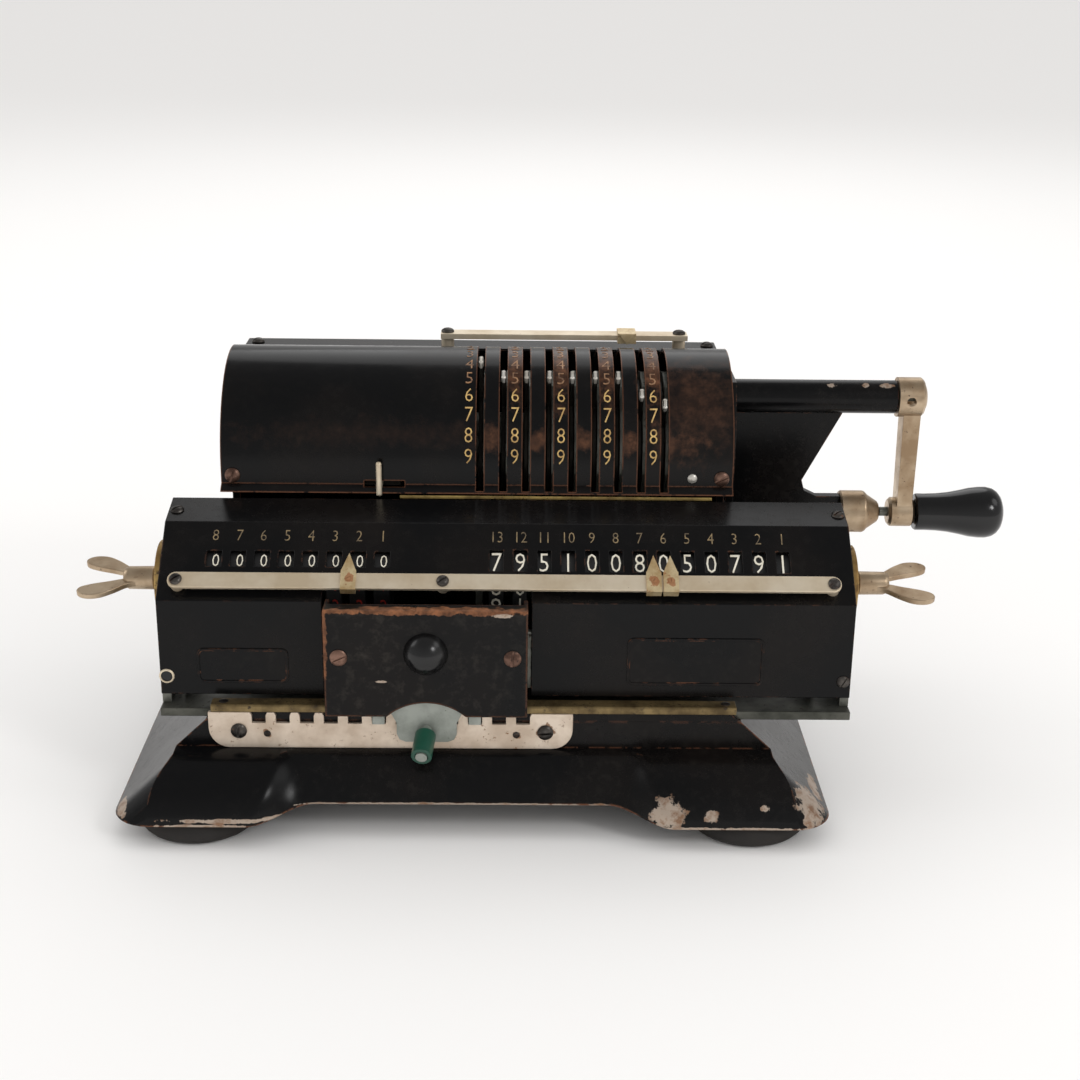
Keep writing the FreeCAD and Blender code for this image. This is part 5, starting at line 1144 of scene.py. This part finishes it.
class CALCULATOR_OT_screws(bpy.types.Operator):
    """Slotted screws of the covers, the base and the carriage"""
    bl_idname = "calculator.screws"
    bl_label = "Screws"

    def execute(self, context):
        self.cover_screws(context.scene.calculator_sizes)
        self.base_screws()
        self.carriage_screws(context.scene.calculator_sizes.screw_radius)
        return {"FINISHED"}

    def cover_screws(self, sizes):
        front, low_z = ROTOR.y - sizes.cover_radius, ROTOR.z - 1.6
        heads = []
        for side, turn in ((-1, 70), (1, 25)):
            heads += slotted_heads([(DRUM_MID_X + side * 84.8, front, low_z)], TO_FRONT, 2.7, 1.5, turn)
        finish_piece(join(heads), "cover_corner_screws", "frame", "bronze_screw")
        rings = [(0.0, 1.7), (0.3, 1.65), (0.6, 1.3), (0.8, 0.8), (0.9, 0.1)]
        rivet = turned_form(rings, (DRUM_MID_X + 74.6, front, low_z), TO_FRONT, 24)
        finish_piece(rivet, "cover_rivet", "frame", "tip_nickel")
        # Two on the shelf, four at the rear and two on the pointer rail
        shelf = [(DRUM_MID_X + x, SHELF_SCREW_Y, SHELF_HIGH.z) for x in (-84.0, 85.0)]
        rear = [(DRUM_MID_X + x, SHELF_HIGH.y, z) for x in (-84.0, 84.0) for z in (50.0, 120.0)]
        rail_y = (TOP_RAIL_LOW.y + TOP_RAIL_HIGH.y) / 2
        rail = [(x, rail_y, TOP_RAIL_HIGH.z) for x in (TOP_RAIL_LOW.x + 2.5, TOP_RAIL_HIGH.x - 3.0)]
        heads = slotted_heads(shelf, UPWARD, 2.4, 1.6, 30)
        heads += slotted_heads(rear, (0, 1, 0), 2.4, 1.4, 50)
        heads += slotted_heads(rail, UPWARD, 2.4, 1.5, 15)
        finish_piece(join(heads), "cover_screws_shown", "frame", "dark_screw",
                     ("cover_screws",))

    def base_screws(self):
        heads = []
        for x, turn in ((RACK_LOW.x + 10.1, 80), (RACK_HIGH.x - 9.2, 5)):
            heads += slotted_heads([(x, RACK_LOW.y, 32.4)], TO_FRONT, 2.7, 1.4, turn)
        pins = [(x, RACK_LOW.y, 31.4) for x in (RACK_LOW.x + 19.5, RACK_HIGH.x - 18.9)]
        heads += slotted_heads(pins, TO_FRONT, 1.2, 0.5)
        guide = [(DRUM_MID_X + x, KEEPER_LOW.y + 3.1, KEEPER_HIGH.z) for x in (-83.5, 84.0)]
        heads += slotted_heads(guide, UPWARD, 1.6, 0.4)
        finish_piece(join(heads), "base_screws_shown", "frame", "dark_screw", ("base_screws",))

    def carriage_screws(self, r):
        low, high = CARRIAGE_LOW.x, CARRIAGE_HIGH.x
        # The lid falls from the slope's upper bend to the rear of the carriage
        fall = (Vector((0, CARRIAGE_HIGH.y, CARRIAGE_HIGH.z)) - SLOPE_TOP).normalized()
        lid_z = SLOPE_TOP.z + (LID_SCREW_Y - SLOPE_TOP.y) * fall.z / fall.y
        lid = [(x, LID_SCREW_Y, lid_z) for x in (low + 3.0, high - 2.6)]
        heads = slotted_heads(lid, Vector((0, -fall.z, fall.y)), r, 1.3, 40)
        heads += slotted_heads([(high - 2.6, CARRIAGE_LOW.y, 48.6)], TO_FRONT, 2.2, 1.0, 60)
        on_rail = [on_slope(x, RAIL_UP, RAIL_OFF + RAIL_THICK) for x in RAIL_SCREWS_X]
        heads += slotted_heads(on_rail, SLOPE_OUT, 2.1, 1.3, 35)
        for x, way in ((low, -1), (high, 1)):
            heads += slotted_heads([(x, WHEELS.y - 13.2, WHEELS.z - 10.2)], (way, 0, 0), r, 1.6, 20)
        finish_piece(join(heads), "carriage_screws_shown", "carriage", "dark_screw",
                     ("carriage_screws",))
        mid, pair = (SHIELD_LOW.x + SHIELD_HIGH.x) / 2, []
        for side, turn in ((-1, 25), (1, 85)):
            pair += slotted_heads([(mid + side * 28.4, SHIELD_LOW.y, 61.0)], TO_FRONT, 2.9, 1.1, turn)
        finish_piece(join(pair), "shield_screws_shown", "carriage", "bronze_screw")


class CALCULATOR_OT_stage(bpy.types.Operator):
    """Pale floor, soft studio light and the camera"""
    bl_idname = "calculator.stage"
    bl_label = "Stage"

    def execute(self, context):
        scene = context.scene
        scene.view_settings.view_transform = "Standard"
        self.floor()
        self.world(scene)
        self.lamp("soft_left", (-1.3, 0.2, 1.0), 0.9, 3.0)
        self.lamp("soft_right", (1.2, -0.2, 1.1), 0.7, 1.5)
        self.lamp("soft_back", (0.1, 1.2, 1.1), 1.2, 4.0)
        self.lamp("window_right", (0.9, -0.9, 0.9), 0.35, 3.5)
        self.camera(scene)
        return {"FINISHED"}

    def floor(self):
        deselect()
        bpy.ops.mesh.primitive_plane_add(size=60.0, location=(0, 0, -0.0002))
        floor = bpy.context.object
        floor.name = "studio_floor"
        material, tree, shader, place = new_material("studio_paper")
        shader.inputs["Base Color"].default_value = rgba("#F3F2F1")
        shader.inputs["Roughness"].default_value = 0.9
        shader.inputs["Specular IOR Level"].default_value = 0.1
        floor.data.materials.append(material)

    def world(self, scene):
        world = bpy.data.worlds.new("studio")
        scene.world = world
        world.use_nodes = True
        tree = world.node_tree
        tree.nodes.clear()
        # Plain even light; polished pieces mirror a room that is dimmer, most of all overhead
        up = add(tree, "SeparateXYZ", {0: add(tree, "TexCoord", out="Generated")}, 2)
        dim = add(tree, "MapRange", {0: up, 1: 0.1, 2: 0.9, 3: 0.62, 4: 0.34})
        glossy = add(tree, "LightPath", out="Is Glossy Ray")
        seen = add(tree, "LightPath", out="Is Camera Ray")
        level = add(tree, "Mix", {0: glossy, 2: 0.95, 3: dim}, data_type="FLOAT")
        level = add(tree, "Mix", {0: seen, 2: level, 3: 0.82}, data_type="FLOAT")
        light = add(tree, "Background", {"Color": rgba("#F7F6F5"), "Strength": level})
        add(tree, "OutputWorld", {"Surface": light}, None)

    def lamp(self, name, place, size, watts):
        data = bpy.data.lights.new(name, "AREA")
        data.shape = "DISK"
        data.size = size
        data.energy = watts
        lamp = bpy.data.objects.new(name, data)
        bpy.context.scene.collection.objects.link(lamp)
        lamp.location = place
        lamp.rotation_euler = (Vector((0, 0, 0.06)) - Vector(place)).to_track_quat("-Z", "Y").to_euler()

    def camera(self, scene):
        yaw, pitch, roll = radians(0.87), radians(20.23), radians(-0.75)
        ahead = Vector((sin(yaw) * cos(pitch), cos(yaw) * cos(pitch), -sin(pitch)))
        right = Vector((cos(yaw), -sin(yaw), 0))
        down = ahead.cross(right)
        right, down = right * cos(roll) + down * sin(roll), down * cos(roll) - right * sin(roll)
        data = bpy.data.cameras.new("photo_view")
        data.lens = 58.27
        data.sensor_width = 36.0
        data.clip_start = 0.01
        camera = bpy.data.objects.new("photo_view", data)
        scene.collection.objects.link(camera)
        turn = Matrix((right, -down, -ahead)).transposed().to_4x4()
        camera.matrix_world = Matrix.Translation(Vector((-16.95, -584.35, 294.9)) * MM) @ turn
        scene.camera = camera


OPERATORS = (CALCULATOR_OT_base, CALCULATOR_OT_feet, CALCULATOR_OT_guides, CALCULATOR_OT_drum_cover,
             CALCULATOR_OT_cover_figures, CALCULATOR_OT_housing, CALCULATOR_OT_rotor, CALCULATOR_OT_crank,
             CALCULATOR_OT_carriage, CALCULATOR_OT_registers, CALCULATOR_OT_pointer_rail, CALCULATOR_OT_latch,
             CALCULATOR_OT_clearing_nuts, CALCULATOR_OT_screws, CALCULATOR_OT_stage)


class CALCULATOR_PT_panel(bpy.types.Panel):
    """Lists the pieces of the calculator"""
    bl_idname = "CALCULATOR_PT_panel"
    bl_label = "Pinwheel calculator"
    bl_space_type = "VIEW_3D"
    bl_region_type = "UI"
    bl_category = "Calculator"

    def draw(self, context):
        column = self.layout.column()
        for group in (context.scene.calculator_sizes, context.scene.calculator_finish):
            for name in group.__annotations__:
                column.prop(group, name)
        for operator in OPERATORS:
            column.operator(operator.bl_idname)


CLASSES = (CalculatorSizes, CalculatorFinish, *OPERATORS, CALCULATOR_PT_panel)


def register():
    for cls in CLASSES:
        bpy.utils.register_class(cls)
    bpy.types.Scene.calculator_sizes = bpy.props.PointerProperty(type=CalculatorSizes)
    bpy.types.Scene.calculator_finish = bpy.props.PointerProperty(type=CalculatorFinish)


def unregister():
    del bpy.types.Scene.calculator_finish
    del bpy.types.Scene.calculator_sizes
    for cls in reversed(CLASSES):
        bpy.utils.unregister_class(cls)


def main():
    register()
    for operator in OPERATORS:
        group, name = operator.bl_idname.split(".")
        getattr(getattr(bpy.ops, group), name)()


if __name__ == "__main__":
    main()
